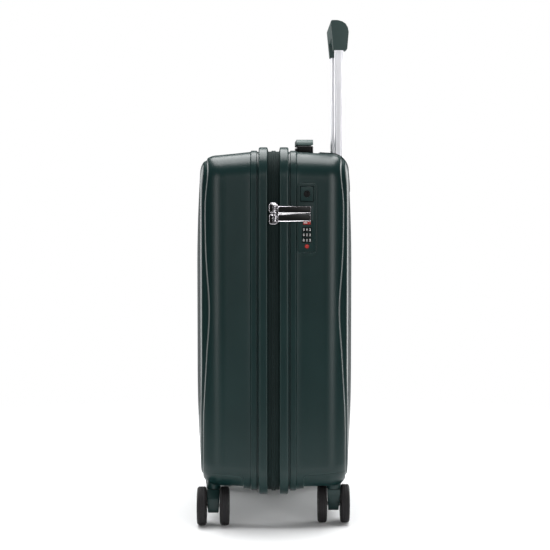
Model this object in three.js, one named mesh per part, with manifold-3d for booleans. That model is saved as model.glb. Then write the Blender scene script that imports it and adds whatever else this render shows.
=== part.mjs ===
// Hard shell cabin suitcase on four twin-wheel casters. Millimetres, +Z up.
// X is the width (lock on +X, fabric hinge on -X), -Y is the front, Z = 0 is the floor.
// The zip lies in the plane Y = 0 and parts the case into a front half and a back half.
import * as THREE from 'three';
import Module from 'manifold-3d';
import { mergeVertices } from 'three/addons/utils/BufferGeometryUtils.js';
import { ParametricGeometry } from 'three/addons/geometries/ParametricGeometry.js';

const wasm = await Module();
wasm.setup();

// ---- Driving dimensions ----
const GAP = 0.3;                  // air between neighbouring pieces
const FRONT = -1;
const BACK = 1;
const SIDES = { left: -1, right: 1 };

// Case: the outline at the rim rib, and how the shell steps in and closes behind it
const RIM_HALF_WIDTH = 187.5;
const RIM_BOTTOM = 44;
const RIM_TOP = 538;
const RIM_MID = (RIM_BOTTOM + RIM_TOP) / 2;
const RIM_HALF_HEIGHT = (RIM_TOP - RIM_BOTTOM) / 2;
const OUTLINE_RADIUS = 42;
const RIM_EDGE = 8.5;             // the shells stop this far from the zip plane
const RIB_END = 21;
const BAND_END = 31.5;
const RIB_HEIGHT = 6.5;
const BAND_HEIGHT = 1.8;
const DRAFT = { [FRONT]: 0.1, [BACK]: 0.06 };      // how fast the walls lean in towards the faces
const FACE_DEPTH = { [FRONT]: 104, [BACK]: 106 };  // of a face at its edge, from the zip plane
const FACE_CROWN = 10;
const FACE_ROUND = 24;
const WALL = 3.2;
const OUTLINE_STEPS = 40;
const BEYOND = 300;               // reaches past the case on any side

// Zip
const TAPE_HALF = 8;
const TAPE_INSET = 5;
const TAPE_THICK = 3;
const HINGE_STRIP_LOW = 110;
const HINGE_STRIP_HIGH = 480;
const SLIDER_UPPER = 453.4;
const SLIDER_LOWER = 437.7;
const SLIDER_LENGTH = 15;
const PULL_UPPER = 450.8;
const PULL_LOWER = 439.6;
const PULL_WIDTH = 9.8;
const PULL_LENGTH = 50;
const PULL_THICK = 2.2;
const PULL_TILT = 5.6 * Math.PI / 180;
const PIN_X = 190.8;
const PIN_Y = 2;

// Lock, let into the right wall of the back half
const LOCK_Y = 46.5;
const LOCK_Z = 439;
const LOCK_WIDTH = 28;
const LOCK_HEIGHT = 98;
const LOCK_FACE = 181.2;          // X of its outer face
const LOCK_THICK = 2;
const LOCK_RADIUS = 5;
const POCKET_DEPTH = 150;         // X where the cuts for the lock's small pieces begin
const PULL_REST = [-3, 9];        // the rest for the pulls, along Y from the lock's middle
const PULL_REST_Z = [436, 455];
const DIAL_WINDOW = [13.2, 6.6];
const INDICATOR_SIZE = [10.4, 4.4];
const KEY_RADIUS = 4.4;
const RESET_RADIUS = 3;
const PIECE_BACK = 174;           // X of the back of the button, indicator and pin
const CASE_BACK = 163;
const BUTTON_Z = 472.7;
const BUTTON_SIZE = 19;
const DIAL_Z = [422.9, 415.5, 408.1];
const DIAL_RADIUS = 7.5;
const DIAL_X = 175;
const INDICATOR_Z = 432.4;
const RESET_Z = 399.7;

// Telescopic handle
const TUBE_X = 75;
const TUBE_Y = 94.5;
const INNER_TUBE = [20, 12.4];
const MIDDLE_TUBE = [22.6, 15];
const OUTER_TUBE = [25.2, 17.6];
const TUBE_WALL = 1;
const GRIP_HALF = 87;
const GRIP_TOP = 722;
const GRIP_BOTTOM = 679;
const GRIP_FRONT = 82.4;
const GRIP_BACK = 108.4;
const WELL_FLOOR = 498;
const BEZEL_HALF = 100;
const BEZEL_FRONT = 67;
const BEZEL_LOW = 474;
const BEZEL_PROUD = 2.4;
const BEZEL_RADIUS = 22;
const WELL_FRONT = 78;
const WELL_WALL = 2.8;
const BRACKET_TOP = 100;
const BRACKET_HEIGHT = 14;
const HAND_HALF = 57;             // half the width of the gap for the fingers
const HAND_TOP = 698;
const SOCKET_DEPTH = 10;
const BUTTON_HALF = 16.5;
const BUTTON_Y = [88.5, 97.9];

// Carry handle on the top
const CARRY_Y = 45;
const CARRY_WIDTH = 24;
const CARRY_TOP = 550;
const CARRY_HALF = 98;
const CARRY_LEG_X = 92;
const CARRY_THICK = 7;
const CARRY_LEG_END = 527.5;
const CARRY_HAND_HALF = 82;
const MOUNT_WIDTH = 22;

// Corner guards and casters
const GUARD_INNER_X = 100;
const GUARD_INNER_Y = 43;
const GUARD_HEIGHT = 79;
const GUARD_UNDERSIDE = 58;
const CASTER_X = 143;
const CASTER_Y = 86;
const CASTER_TRAIL = 9;
const WHEEL_RADIUS = 27.5;
const WHEEL_WIDTH = 13;
const WHEEL_OFFSET = 16.25;
const FORK_TOP = 51;
const STEM_RADIUS = 5;
const BOSS_RADIUS = 10;
const BOSS_TOP = 78;
const AXLE_RADIUS = 2.6;
const AXLE_HALF = 21.5;

// Inside
const LINING_START = 10;
const LINING_THIN = 1.6;
const LINING_DEPTH = { [FRONT]: 150, [BACK]: 84.8 };  // the back one stops before the tubes
const PANEL = [340, 452, 44];     // the divider's width, height and corner radius
const PANEL_Y = [-9.6, -8.4];
const STRAP_X = [22, 168];
const STRAP_Y = [10.5, 12];
const STRAP_Z = [280, 318];
const BUCKLE = [43, 46, 6];
const BUCKLE_Y = [8.9, 14];

// ---- Materials ----
const material = (color, roughness, metalness = 0) =>
  new THREE.MeshStandardMaterial({ color, roughness, metalness });
const SHELL_GREEN = [0x203c38, 0.42];
const GRIP_GREEN = [0x2c4440, 0.5];
const BLACK_PLASTIC = [0x161718, 0.5];
const TYRE_GREY = [0x2b2a2c, 0.75];
const BRIGHT_METAL = [0xd8d8dc, 0.25, 1];
const TAPE_FABRIC = [0x1b302d, 0.9];
const LINING_FABRIC = [0x4a5052, 0.95];
const RED_ENAMEL = [0xa8201c, 0.4];

// ---- Solids ----
function signedVolume(position, index) {
  const [a, b, c] = [new THREE.Vector3(), new THREE.Vector3(), new THREE.Vector3()];
  let total = 0;
  for (let i = 0; i < index.length; i += 3) {
    a.fromBufferAttribute(position, index[i]);
    b.fromBufferAttribute(position, index[i + 1]);
    c.fromBufferAttribute(position, index[i + 2]);
    total += a.dot(b.cross(c));
  }
  return total;
}

// Turns a closed three.js geometry into a solid, with its faces pointing out.
function solid(geometry) {
  const bare = geometry.clone();
  bare.deleteAttribute('normal');
  bare.deleteAttribute('uv');
  const merged = mergeVertices(bare, 1e-4);
  const index = [];
  for (let i = 0; i < merged.index.count; i += 3) {
    const [a, b, c] = [0, 1, 2].map((k) => merged.index.getX(i + k));
    if (a !== b && b !== c && c !== a) index.push(a, b, c);
  }
  const position = merged.attributes.position;
  if (signedVolume(position, index) < 0) index.reverse();
  return new wasm.Manifold(new wasm.Mesh({
    numProp: 3,
    vertProperties: new Float32Array(position.array),
    triVerts: new Uint32Array(index),
  }));
}

function geometryOf(body) {
  const mesh = body.getMesh();
  const geometry = new THREE.BufferGeometry();
  geometry.setAttribute('position', new THREE.BufferAttribute(mesh.vertProperties, 3));
  geometry.setIndex(new THREE.BufferAttribute(mesh.triVerts, 1));
  return geometry;
}

// A block between two corners.
function block([x0, y0, z0], [x1, y1, z1]) {
  const geometry = new THREE.BoxGeometry(x1 - x0, y1 - y0, z1 - z0);
  geometry.translate((x0 + x1) / 2, (y0 + y1) / 2, (z0 + z1) / 2);
  return solid(geometry);
}

// A round bar along X, Y or Z, from start to end of that axis.
function bar(axis, radius, start, end, at, sides = 20) {
  const geometry = new THREE.CylinderGeometry(radius, radius, end - start, sides);
  const middle = new THREE.Vector3(...at);
  if (axis === 'x') geometry.rotateZ(-Math.PI / 2);
  if (axis === 'z') geometry.rotateX(Math.PI / 2);
  middle[axis] = (start + end) / 2;
  geometry.translate(middle.x, middle.y, middle.z);
  return solid(geometry);
}

function roundedRectangle(width, height, radius) {
  const shape = new THREE.Shape();
  const [w, h] = [width / 2, height / 2];
  shape.moveTo(w, -h + radius);
  shape.absarc(w - radius, h - radius, radius, 0, Math.PI / 2);
  shape.absarc(-w + radius, h - radius, radius, Math.PI / 2, Math.PI);
  shape.absarc(-w + radius, -h + radius, radius, Math.PI, 1.5 * Math.PI);
  shape.absarc(w - radius, -h + radius, radius, 1.5 * Math.PI, 2 * Math.PI);
  return shape;
}

// Extrudes a shape along X, Y or Z between start and end of that axis.
// The shape's own x and y lie along (y, z), (x, z) or (x, y) of the case.
function prism(axis, shape, start, end, curveSegments = 4) {
  const geometry = new THREE.ExtrudeGeometry(shape, {
    depth: end - start, bevelEnabled: false, curveSegments,
  });
  if (axis === 'x') {
    geometry.rotateX(Math.PI / 2);
    geometry.rotateZ(Math.PI / 2);
    geometry.translate(start, 0, 0);
  } else if (axis === 'y') {
    geometry.rotateX(Math.PI / 2);
    geometry.translate(0, end, 0);
  } else {
    geometry.translate(0, 0, start);
  }
  return solid(geometry);
}

function outlineOfPoints(points) {
  return new THREE.Shape(points.map(([x, y]) => new THREE.Vector2(x, y)));
}

// ---- Case outline and lofts ----
// Point of the rounded case outline for u in 0..1, stepped in by inset and scaled to its middle.
function outlinePoint(u, inset, scale) {
  const radius = OUTLINE_RADIUS - Math.max(inset, 0) * 0.6;
  const centreX = RIM_HALF_WIDTH - inset - radius;
  const centreZ = RIM_HALF_HEIGHT - inset - radius;
  const quarter = Math.min(3, Math.floor(u * 4 + 1e-9));
  const along = u * 4 - quarter;
  const leg = 0.2;
  const turn = Math.min(Math.max((along - leg) / (1 - 2 * leg), 0), 1);
  const angle = (quarter + turn) * Math.PI / 2;
  const before = Math.min(along / leg, 1);
  const after = Math.min((1 - along) / leg, 1);
  const [stretchX, stretchZ] = quarter % 2 === 0 ? [after, before] : [before, after];
  const signX = quarter === 0 || quarter === 3 ? 1 : -1;
  const signZ = quarter < 2 ? 1 : -1;
  const x = signX * centreX * stretchX + radius * Math.cos(angle);
  const z = signZ * centreZ * stretchZ + radius * Math.sin(angle);
  return [x * scale, RIM_MID + z * scale];
}

// Rows that close a half case behind its rim: the leaning wall, the rounded edge, the crowned face.
function closingRows(side, wall, roundSteps, faceSteps) {
  const inset = RIB_HEIGHT + wall;
  const roundStart = FACE_DEPTH[side] - FACE_ROUND;
  const roundInset = inset + DRAFT[side] * (roundStart - BAND_END);
  const round = FACE_ROUND - wall;
  const rows = [{ y: BAND_END, inset, scale: 1 }];
  for (let i = 0; i <= roundSteps; i += 1) {
    const angle = (i / roundSteps) * Math.PI / 2;
    rows.push({
      y: roundStart + round * Math.sin(angle),
      inset: roundInset + round * (1 - Math.cos(angle)),
      scale: 1,
    });
  }
  for (let i = 1; i <= faceSteps; i += 1) {
    const scale = 1 - i / faceSteps;
    rows.push({
      y: FACE_DEPTH[side] - wall + FACE_CROWN * (1 - scale ** 2),
      inset: roundInset + round,
      scale,
    });
  }
  return rows;
}

function rimRows() {
  const band = RIB_HEIGHT - BAND_HEIGHT;
  return [
    { y: RIM_EDGE, inset: 1.2, scale: 0 },
    { y: RIM_EDGE, inset: 1.2, scale: 1 },
    { y: RIM_EDGE + 1.2, inset: 0, scale: 1 },
    { y: RIB_END - 1.8, inset: 0, scale: 1 },
    { y: RIB_END - 0.4, inset: 1.4, scale: 1 },
    { y: RIB_END, inset: band + 1.2, scale: 1 },
    { y: RIB_END + 2, inset: band + 1.2, scale: 1 },
    { y: RIB_END + 2.6, inset: band, scale: 1 },
    { y: BAND_END - 1.2, inset: band, scale: 1 },
  ];
}

function plainRim(wall, start) {
  const inset = RIB_HEIGHT + wall;
  return [{ y: start, inset, scale: 0 }, { y: start, inset, scale: 1 }];
}

function loft(rows, side, steps = OUTLINE_STEPS) {
  const surface = (u, v, target) => {
    const row = rows[Math.round(v * (rows.length - 1))];
    const [x, z] = outlinePoint(u, row.inset, row.scale);
    target.set(x, side * row.y, z);
  };
  return solid(new ParametricGeometry(surface, steps, rows.length - 1));
}

// The full outer form of a half case, and plain forms inside or outside its skin.
const halfForm = (side) => loft([...rimRows(), ...closingRows(side, 0, 4, 4)], side);
const skinForm = (side, wall, start = 1) =>
  loft([...plainRim(wall, start), ...closingRows(side, wall, 4, 4)], side);
const liningForm = (side, wall, start) =>
  loft([...plainRim(wall, start), ...closingRows(side, wall, 2, 2)], side, 20);

// A flat ring along the rim: its outside is stepped in by inset.
function rimRing(inset, thickness, start, end) {
  const ringShape = (step) => {
    const radius = OUTLINE_RADIUS - step;
    return roundedRectangle(2 * (RIM_HALF_WIDTH - step), 2 * (RIM_HALF_HEIGHT - step), radius);
  };
  const shape = ringShape(inset);
  shape.holes.push(ringShape(inset + thickness));
  return prism('y', shape, start, end, 5).translate([0, 0, RIM_MID]);
}

// ---- The scene graph ----
const suitcase = new THREE.Group();

function addPart(name, geometry, [color, roughness, metalness], parent = suitcase) {
  const mesh = new THREE.Mesh(geometry, material(color, roughness, metalness));
  mesh.name = name;
  parent.add(mesh);
  return mesh;
}

const addSolid = (name, body, finish, parent) => addPart(name, geometryOf(body), finish, parent);

// ---- Corner guards ----
// The room one guard takes at a bottom corner: rounded where its top edge turns down.
function guardRoom(side, across, grow) {
  const [low, far] = [30, 130];
  const [inner, top] = [GUARD_INNER_Y - grow, GUARD_HEIGHT + grow];
  const [round, rise, fall] = [6, 2.5, 3];
  const shape = new THREE.Shape();
  shape.moveTo(inner, low);
  shape.lineTo(far, low);
  shape.lineTo(far, top + rise);
  shape.lineTo(inner + round, top - fall);
  shape.quadraticCurveTo(inner, top - fall, inner, top - fall - round);
  const room = prism('x', shape, GUARD_INNER_X - grow, BEYOND);
  return room.scale([across, side, 1]);
}

function addGuards() {
  const above = (z) => block([-BEYOND, -BEYOND, z], [BEYOND, BEYOND, z + BEYOND]);
  for (const [half, side] of [['front', FRONT], ['back', BACK]]) {
    const outside = skinForm(side, 0).intersect(above(GUARD_UNDERSIDE));
    const inside = skinForm(side, WALL, 0.5).intersect(above(GUARD_UNDERSIDE + WALL));
    const skin = outside.subtract(inside);
    for (const [hand, across] of Object.entries(SIDES)) {
      const at = [across * CASTER_X, side * CASTER_Y, 0];
      const boss = bar('z', BOSS_RADIUS, FORK_TOP + 0.8, BOSS_TOP, at);
      const bore = bar('z', STEM_RADIUS + 0.4, FORK_TOP - 5, BOSS_TOP - 4, at);
      const guard = skin.intersect(guardRoom(side, across, 0)).add(boss).subtract(bore);
      addSolid(`${half}_${hand}_corner_guard`, guard, SHELL_GREEN);
    }
  }
}

// ---- Telescopic handle ----
const tubeSection = ([width, depth], grow = 0) =>
  roundedRectangle(width + 2 * grow, depth + 2 * grow, 3.5);

function tubePair(size, grow, low, high) {
  const one = (across) =>
    prism('z', tubeSection(size, grow), low, high).translate([across * TUBE_X, TUBE_Y, 0]);
  return one(SIDES.left).add(one(SIDES.right));
}

const wellRoom = (grow) =>
  block([-GRIP_HALF - 3.5 - grow, WELL_FRONT - grow, WELL_FLOOR - 3 - grow],
    [GRIP_HALF + 3.5 + grow, BEYOND, CARRY_TOP]);

function addBezel() {
  const tall = 240;
  const outline = roundedRectangle(2 * BEZEL_HALF, tall, BEZEL_RADIUS);
  const reach = prism('y', outline, BEZEL_FRONT, BEYOND, 5).translate([0, 0, BEZEL_LOW + tall / 2]);
  const proud = skinForm(BACK, -BEZEL_PROUD);
  const cover = proud.subtract(skinForm(BACK, -GAP)).intersect(reach);
  const tub = proud.intersect(wellRoom(0));
  const side = GRIP_HALF + 0.7;
  const cavity = block([-side, WELL_FRONT + WELL_WALL, WELL_FLOOR], [side, BEYOND, GRIP_TOP]);
  const holes = tubePair(MIDDLE_TUBE, GAP, WELL_FLOOR - 10, WELL_FLOOR + 10);
  addSolid('trolley_bezel', cover.add(tub).subtract(cavity).subtract(holes), SHELL_GREEN);
}

function hollowTube(size, low, high) {
  const shape = tubeSection(size);
  shape.holes.push(tubeSection(size, -TUBE_WALL));
  return geometryOf(prism('z', shape, low, high, 3));
}

function addTubes() {
  const stages = [
    ['outer', OUTER_TUBE, BRACKET_TOP + GAP, WELL_FLOOR - 3 - GAP, BRIGHT_METAL],
    ['middle', MIDDLE_TUBE, BRACKET_TOP + 4, WELL_FLOOR + 3, BRIGHT_METAL],
    ['inner', INNER_TUBE, BRACKET_TOP + 182, GRIP_BOTTOM + SOCKET_DEPTH, BRIGHT_METAL],
  ];
  for (const [stage, size, low, high, finish] of stages) {
    for (const [hand, across] of Object.entries(SIDES)) {
      const tube = addPart(`${stage}_tube_${hand}`, hollowTube(size, low, high), finish);
      tube.position.set(across * TUBE_X, TUBE_Y, 0);
    }
  }
  const bracket = block([-90, 87.5, BRACKET_TOP - BRACKET_HEIGHT], [90, 101, BRACKET_TOP]);
  addSolid('trolley_bracket', bracket, BLACK_PLASTIC);
}

// The grip's section, seen from its end: flat front and top, round back.
function gripShape() {
  const shape = new THREE.Shape();
  shape.moveTo(GRIP_FRONT + 4, GRIP_BOTTOM);
  shape.lineTo(GRIP_FRONT, GRIP_TOP - 3);
  shape.quadraticCurveTo(GRIP_FRONT, GRIP_TOP, GRIP_FRONT + 3, GRIP_TOP);
  shape.lineTo(GRIP_BACK - 16, GRIP_TOP);
  shape.quadraticCurveTo(GRIP_BACK - 1, GRIP_TOP - 2, GRIP_BACK, GRIP_TOP - 17);
  shape.lineTo(GRIP_BACK - 2, GRIP_BOTTOM + 2);
  shape.lineTo(GRIP_BACK - 4, GRIP_BOTTOM);
  return shape;
}

function addGrip() {
  const fingerGap = block([-HAND_HALF, 0, GRIP_BOTTOM - 20], [HAND_HALF, BEYOND, HAND_TOP]);
  const sockets = tubePair(INNER_TUBE, GAP, GRIP_BOTTOM - 5, GRIP_BOTTOM + SOCKET_DEPTH + GAP);
  const [near, far] = BUTTON_Y;
  const room = [BUTTON_HALF + 0.5, far + 0.5, GRIP_TOP + 5];
  const buttonPocket = block([-BUTTON_HALF - 0.5, near - 0.5, GRIP_TOP - 16], room);
  const grip = prism('x', gripShape(), -GRIP_HALF, GRIP_HALF);
  addSolid('trolley_grip', grip.subtract(fingerGap).subtract(sockets).subtract(buttonPocket),
    GRIP_GREEN);
  const button = block([-BUTTON_HALF, near, GRIP_TOP - 10], [BUTTON_HALF, far, GRIP_TOP + 0.6]);
  addSolid('trolley_grip_button', button, BLACK_PLASTIC);
}

// ---- Carry handle on the top ----
const carryLegs = (grow, low, high) => {
  const leg = (across) => block(
    [across * CARRY_LEG_X - 3 - grow, CARRY_Y - 6 - grow, low],
    [across * CARRY_LEG_X + 3 + grow, CARRY_Y + 6 + grow, high],
  );
  return leg(SIDES.left).add(leg(SIDES.right));
};

function addCarryHandle() {
  const shape = new THREE.Shape();
  const under = CARRY_TOP - CARRY_THICK;
  shape.moveTo(-CARRY_HALF, under - 1);
  shape.lineTo(CARRY_HALF, under - 1);
  shape.quadraticCurveTo(CARRY_HALF - 2, CARRY_TOP, CARRY_HALF - 14, CARRY_TOP);
  shape.lineTo(-CARRY_HALF + 14, CARRY_TOP);
  shape.quadraticCurveTo(-CARRY_HALF + 2, CARRY_TOP, -CARRY_HALF, under - 1);
  const [near, far] = [CARRY_Y - CARRY_WIDTH / 2, CARRY_Y + CARRY_WIDTH / 2];
  const gapLow = [-CARRY_HAND_HALF, near - 1, under - 5];
  const fingerGap = block(gapLow, [CARRY_HAND_HALF, far + 1, under]);
  const strip = prism('y', shape, near, far, 5).subtract(fingerGap);
  addSolid('carry_handle', strip.add(carryLegs(0, CARRY_LEG_END, under)), GRIP_GREEN);
  for (const [hand, across] of Object.entries(SIDES)) {
    const outline = roundedRectangle(MOUNT_WIDTH, CARRY_WIDTH, 5);
    const post = prism('z', outline, 515, under - 2.6).translate([across * CARRY_LEG_X, CARRY_Y, 0]);
    const mount = post.subtract(skinForm(BACK, -GAP)).subtract(carryLegs(GAP, 0, GRIP_TOP));
    addSolid(`carry_mount_${hand}`, mount, BLACK_PLASTIC);
  }
}

// ---- Zip ----
function addZip() {
  const hingeSide = block([-200, -20, HINGE_STRIP_LOW - GAP], [-150, 20, HINGE_STRIP_HIGH + GAP]);
  for (const [half, side] of [['front', FRONT], ['back', BACK]]) {
    const [start, end] = side === FRONT ? [-TAPE_HALF, -GAP] : [GAP, TAPE_HALF];
    const tape = rimRing(TAPE_INSET, TAPE_THICK, start, end).subtract(hingeSide);
    addSolid(`${half}_zip_tape`, tape, TAPE_FABRIC);
  }
  const strip = block(
    [-RIM_HALF_WIDTH + TAPE_INSET, -TAPE_HALF, HINGE_STRIP_LOW],
    [-RIM_HALF_WIDTH + TAPE_INSET + TAPE_THICK, TAPE_HALF, HINGE_STRIP_HIGH],
  );
  addSolid('hinge_strip', strip, TAPE_FABRIC);
}

// A slider runs on both tapes; its pull turns on a pin between two ears.
function slider(middle, pullMiddle) {
  const [low, high] = [middle - SLIDER_LENGTH / 2, middle + SLIDER_LENGTH / 2];
  const tapeFace = RIM_HALF_WIDTH - TAPE_INSET;
  const bodyTop = PIN_X - 3.4;
  let body = block([tapeFace + GAP, -6.8, low], [bodyTop, 6, high]);
  for (const [from, to] of [[-4.9, -3.4], [3.4, 4.9]]) {
    const ear = block([bodyTop - 1, PIN_Y - 3, pullMiddle + from], [PIN_X + 2.6, PIN_Y + 3, pullMiddle + to]);
    body = body.add(ear);
  }
  return body.add(bar('z', 1.2, pullMiddle - 4, pullMiddle + 4, [PIN_X, PIN_Y, 0], 12));
}

// A pull, made along +Y from its pin and tilted so that its end comes down to the lock.
function pull() {
  const half = PULL_THICK / 2;
  const eye = bar('z', 2.8, -3, 3, [0, 0, 0], 16);
  const neck = block([-half, 1.5, -3], [half, 8, 3]);
  const slab = block([-half, 7.5, -PULL_WIDTH / 2], [half, PULL_LENGTH, PULL_WIDTH / 2]);
  return eye.add(neck).add(slab).subtract(bar('z', 1.6, -4, 4, [0, 0, 0], 12));
}

function addSliders() {
  const pairs = [['upper', SLIDER_UPPER, PULL_UPPER], ['lower', SLIDER_LOWER, PULL_LOWER]];
  for (const [name, middle, pullMiddle] of pairs) {
    addSolid(`${name}_zip_slider`, slider(middle, pullMiddle), BRIGHT_METAL);
    const tab = addPart(`${name}_zip_pull`, geometryOf(pull()), BRIGHT_METAL);
    tab.position.set(PIN_X, PIN_Y, pullMiddle);
    tab.rotation.z = PULL_TILT;
  }
}

// ---- Lock ----
function lockPlateRoom(grow) {
  const radius = LOCK_RADIUS + grow;
  const outline = roundedRectangle(LOCK_WIDTH + 2 * grow, LOCK_HEIGHT + 2 * grow, radius);
  return prism('x', outline, POCKET_DEPTH, BEYOND).translate([0, LOCK_Y, LOCK_Z]);
}

// A square prism through the lock's face, centred at height z.
function lockSquare(width, height, z, from, to) {
  return block([from, LOCK_Y - width / 2, z - height / 2], [to, LOCK_Y + width / 2, z + height / 2]);
}

function addLock() {
  const under = LOCK_FACE - LOCK_THICK;
  const slab = lockPlateRoom(0).intersect(block([under, 0, 0], [LOCK_FACE, BEYOND, GRIP_TOP]));
  const [restLow, restHigh] = PULL_REST_Z;
  const [near, far] = PULL_REST.map((y) => LOCK_Y + y);
  const rest = block([under, near, restLow], [LOCK_FACE + 3, far, restHigh]);
  const window = (width, height, z) => lockSquare(width, height, z, POCKET_DEPTH, BEYOND);
  const middle = (z) => [0, LOCK_Y, z];
  let plate = slab.add(rest).subtract(window(BUTTON_SIZE, BUTTON_SIZE + 2.5, BUTTON_Z));
  for (const z of DIAL_Z) plate = plate.subtract(window(...DIAL_WINDOW, z));
  const [flagWidth, flagHeight] = INDICATOR_SIZE;
  plate = plate.subtract(window(flagWidth + 0.8, flagHeight + 0.8, INDICATOR_Z));
  const pinHole = bar('x', RESET_RADIUS + GAP, POCKET_DEPTH, BEYOND, middle(RESET_Z), 16);
  addSolid('lock_plate', plate.subtract(pinHole), SHELL_GREEN);

  const keyBore = bar('x', KEY_RADIUS + 0.4, POCKET_DEPTH, BEYOND, middle(BUTTON_Z), 20);
  const [wide, tall] = [BUTTON_SIZE - 0.8, BUTTON_SIZE + 1.7];
  const button = lockSquare(wide, tall, BUTTON_Z, PIECE_BACK, LOCK_FACE + 1);
  addSolid('lock_button', button.subtract(keyBore), SHELL_GREEN);
  const key = bar('x', KEY_RADIUS, PIECE_BACK - 6, LOCK_FACE + 0.4, middle(BUTTON_Z), 20);
  addSolid('key_cylinder', key, BLACK_PLASTIC);
  DIAL_Z.forEach((z, i) => {
    const dial = bar('z', DIAL_RADIUS, z - 2.9, z + 2.9, [DIAL_X, LOCK_Y, 0], 20);
    addSolid(`dial_${i + 1}`, dial, BLACK_PLASTIC);
  });
  const flag = lockSquare(flagWidth, flagHeight, INDICATOR_Z, PIECE_BACK, LOCK_FACE - 0.4);
  addSolid('lock_indicator', flag, RED_ENAMEL);
  const pin = bar('x', RESET_RADIUS, PIECE_BACK, LOCK_FACE + 0.5, middle(RESET_Z), 16);
  addSolid('reset_pin', pin, RED_ENAMEL);

  const pocket = block([CASE_BACK + 2, LOCK_Y - 10.8, 394.5], [BEYOND, LOCK_Y + 10.8, 484]);
  const box = lockSquare(LOCK_WIDTH - 3, LOCK_HEIGHT - 6, LOCK_Z, CASE_BACK, under - GAP);
  addSolid('lock_case', box.subtract(pocket), BLACK_PLASTIC);
}

// ---- Shells ----
function addShells() {
  for (const [half, side] of [['front', FRONT], ['back', BACK]]) {
    const hands = Object.values(SIDES);
    let hollow = skinForm(side, WALL, 0.5);
    for (const across of hands) hollow = hollow.subtract(guardRoom(side, across, GAP + WALL));
    let shell = halfForm(side).subtract(hollow);
    for (const across of hands) shell = shell.subtract(guardRoom(side, across, GAP));
    if (side === BACK) {
      shell = shell.subtract(wellRoom(GAP));
      shell = shell.subtract(carryLegs(0.6, WELL_FLOOR, GRIP_TOP));
      shell = shell.subtract(lockPlateRoom(GAP));
    }
    addSolid(`${half}_shell`, shell, SHELL_GREEN);
  }
}

// ---- Inside: linings, divider, straps ----
function addInside() {
  const outside = WALL + 1;
  const inside = outside + LINING_THIN;
  const lockRoom = block([CASE_BACK - 5, LOCK_Y - 17, 385], [BEYOND, LOCK_Y + 17, 493]);
  for (const [half, side] of [['front', FRONT], ['back', BACK]]) {
    const depth = LINING_DEPTH[side];
    const reach = (y) => block([-BEYOND, Math.min(0, side * y), 0],
      [BEYOND, Math.max(0, side * y), GRIP_TOP]);
    const outer = liningForm(side, outside, LINING_START).intersect(reach(depth));
    const inner = liningForm(side, inside, LINING_START - 3).intersect(reach(depth - LINING_THIN));
    let lining = outer.subtract(inner);
    for (const across of Object.values(SIDES)) {
      lining = lining.subtract(guardRoom(side, across, GAP + WALL + 1));
    }
    if (side === BACK) lining = lining.subtract(wellRoom(1)).subtract(lockRoom);
    addSolid(`${half}_lining`, lining, LINING_FABRIC);
  }
  const panel = prism('y', roundedRectangle(...PANEL), ...PANEL_Y).translate([0, 0, RIM_MID]);
  addSolid('divider_panel', panel, LINING_FABRIC);

  for (const [hand, across] of Object.entries(SIDES)) {
    const [low, high] = [0, 1].map((end) => [STRAP_X[end], STRAP_Y[end], STRAP_Z[end]]);
    const strap = block(low, high).scale([across, 1, 1]);
    addSolid(`packing_strap_${hand}`, strap, LINING_FABRIC);
  }
  const strapMiddle = (STRAP_Z[0] + STRAP_Z[1]) / 2;
  const buckle = prism('y', roundedRectangle(...BUCKLE), ...BUCKLE_Y).translate([0, 0, strapMiddle]);
  addSolid('strap_buckle', buckle, BLACK_PLASTIC);
}

// ---- Casters ----
// Made with the swivel axis through the origin and the wheels trailing towards +X.
function forkBody() {
  const side = new THREE.Shape();
  const neck = 9.2;
  const cheek = 10;
  side.moveTo(-neck, FORK_TOP);
  side.lineTo(-neck, FORK_TOP - 8);
  side.lineTo(CASTER_TRAIL - cheek, WHEEL_RADIUS);
  side.absarc(CASTER_TRAIL, WHEEL_RADIUS, cheek, Math.PI, 2 * Math.PI);
  side.lineTo(CASTER_TRAIL + cheek, WHEEL_RADIUS + 12);
  side.lineTo(neck, FORK_TOP);
  const front = outlineOfPoints([[-7.25, 15], [7.25, 15], [neck, FORK_TOP], [-neck, FORK_TOP]]);
  const stem = bar('z', STEM_RADIUS, FORK_TOP - 1, 72, [0, 0, 0], 16);
  const axleBore = bar('y', AXLE_RADIUS + GAP, -20, 20, [CASTER_TRAIL, 0, WHEEL_RADIUS], 12);
  return prism('y', side, -15, 15).intersect(prism('x', front, -30, 40)).add(stem).subtract(axleBore);
}

function wheelGeometry() {
  const [r, w] = [WHEEL_RADIUS, WHEEL_WIDTH / 2];
  const bore = AXLE_RADIUS + GAP;
  const half = [[bore, w], [r - 4, w], [r - 1.2, w - 1.2], [r, w - 4]];
  const mirrored = half.map(([x, y]) => [x, -y]).reverse();
  const profile = [...half, ...mirrored, half[0]].map(([x, y]) => new THREE.Vector2(x, y));
  return geometryOf(solid(new THREE.LatheGeometry(profile, 20)));
}

function addCasters() {
  const fork = geometryOf(forkBody());
  const wheel = wheelGeometry();
  const axle = geometryOf(bar('y', AXLE_RADIUS, -AXLE_HALF, AXLE_HALF, [CASTER_TRAIL, 0, WHEEL_RADIUS], 12));
  for (const [half, side] of [['front', FRONT], ['back', BACK]]) {
    for (const [hand, across] of Object.entries(SIDES)) {
      const caster = new THREE.Group();
      caster.position.set(across * CASTER_X, side * CASTER_Y, 0);
      caster.rotation.z = side === FRONT ? 0 : Math.PI;
      suitcase.add(caster);
      const name = `${half}_${hand}`;
      addPart(`${name}_fork`, fork, SHELL_GREEN, caster);
      addPart(`${name}_axle`, axle, BRIGHT_METAL, caster);
      for (const [place, sign] of [['a', -1], ['b', 1]]) {
        const mesh = addPart(`${name}_wheel_${place}`, wheel, TYRE_GREY, caster);
        mesh.position.set(CASTER_TRAIL, sign * WHEEL_OFFSET, WHEEL_RADIUS);
      }
    }
  }
}

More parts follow.
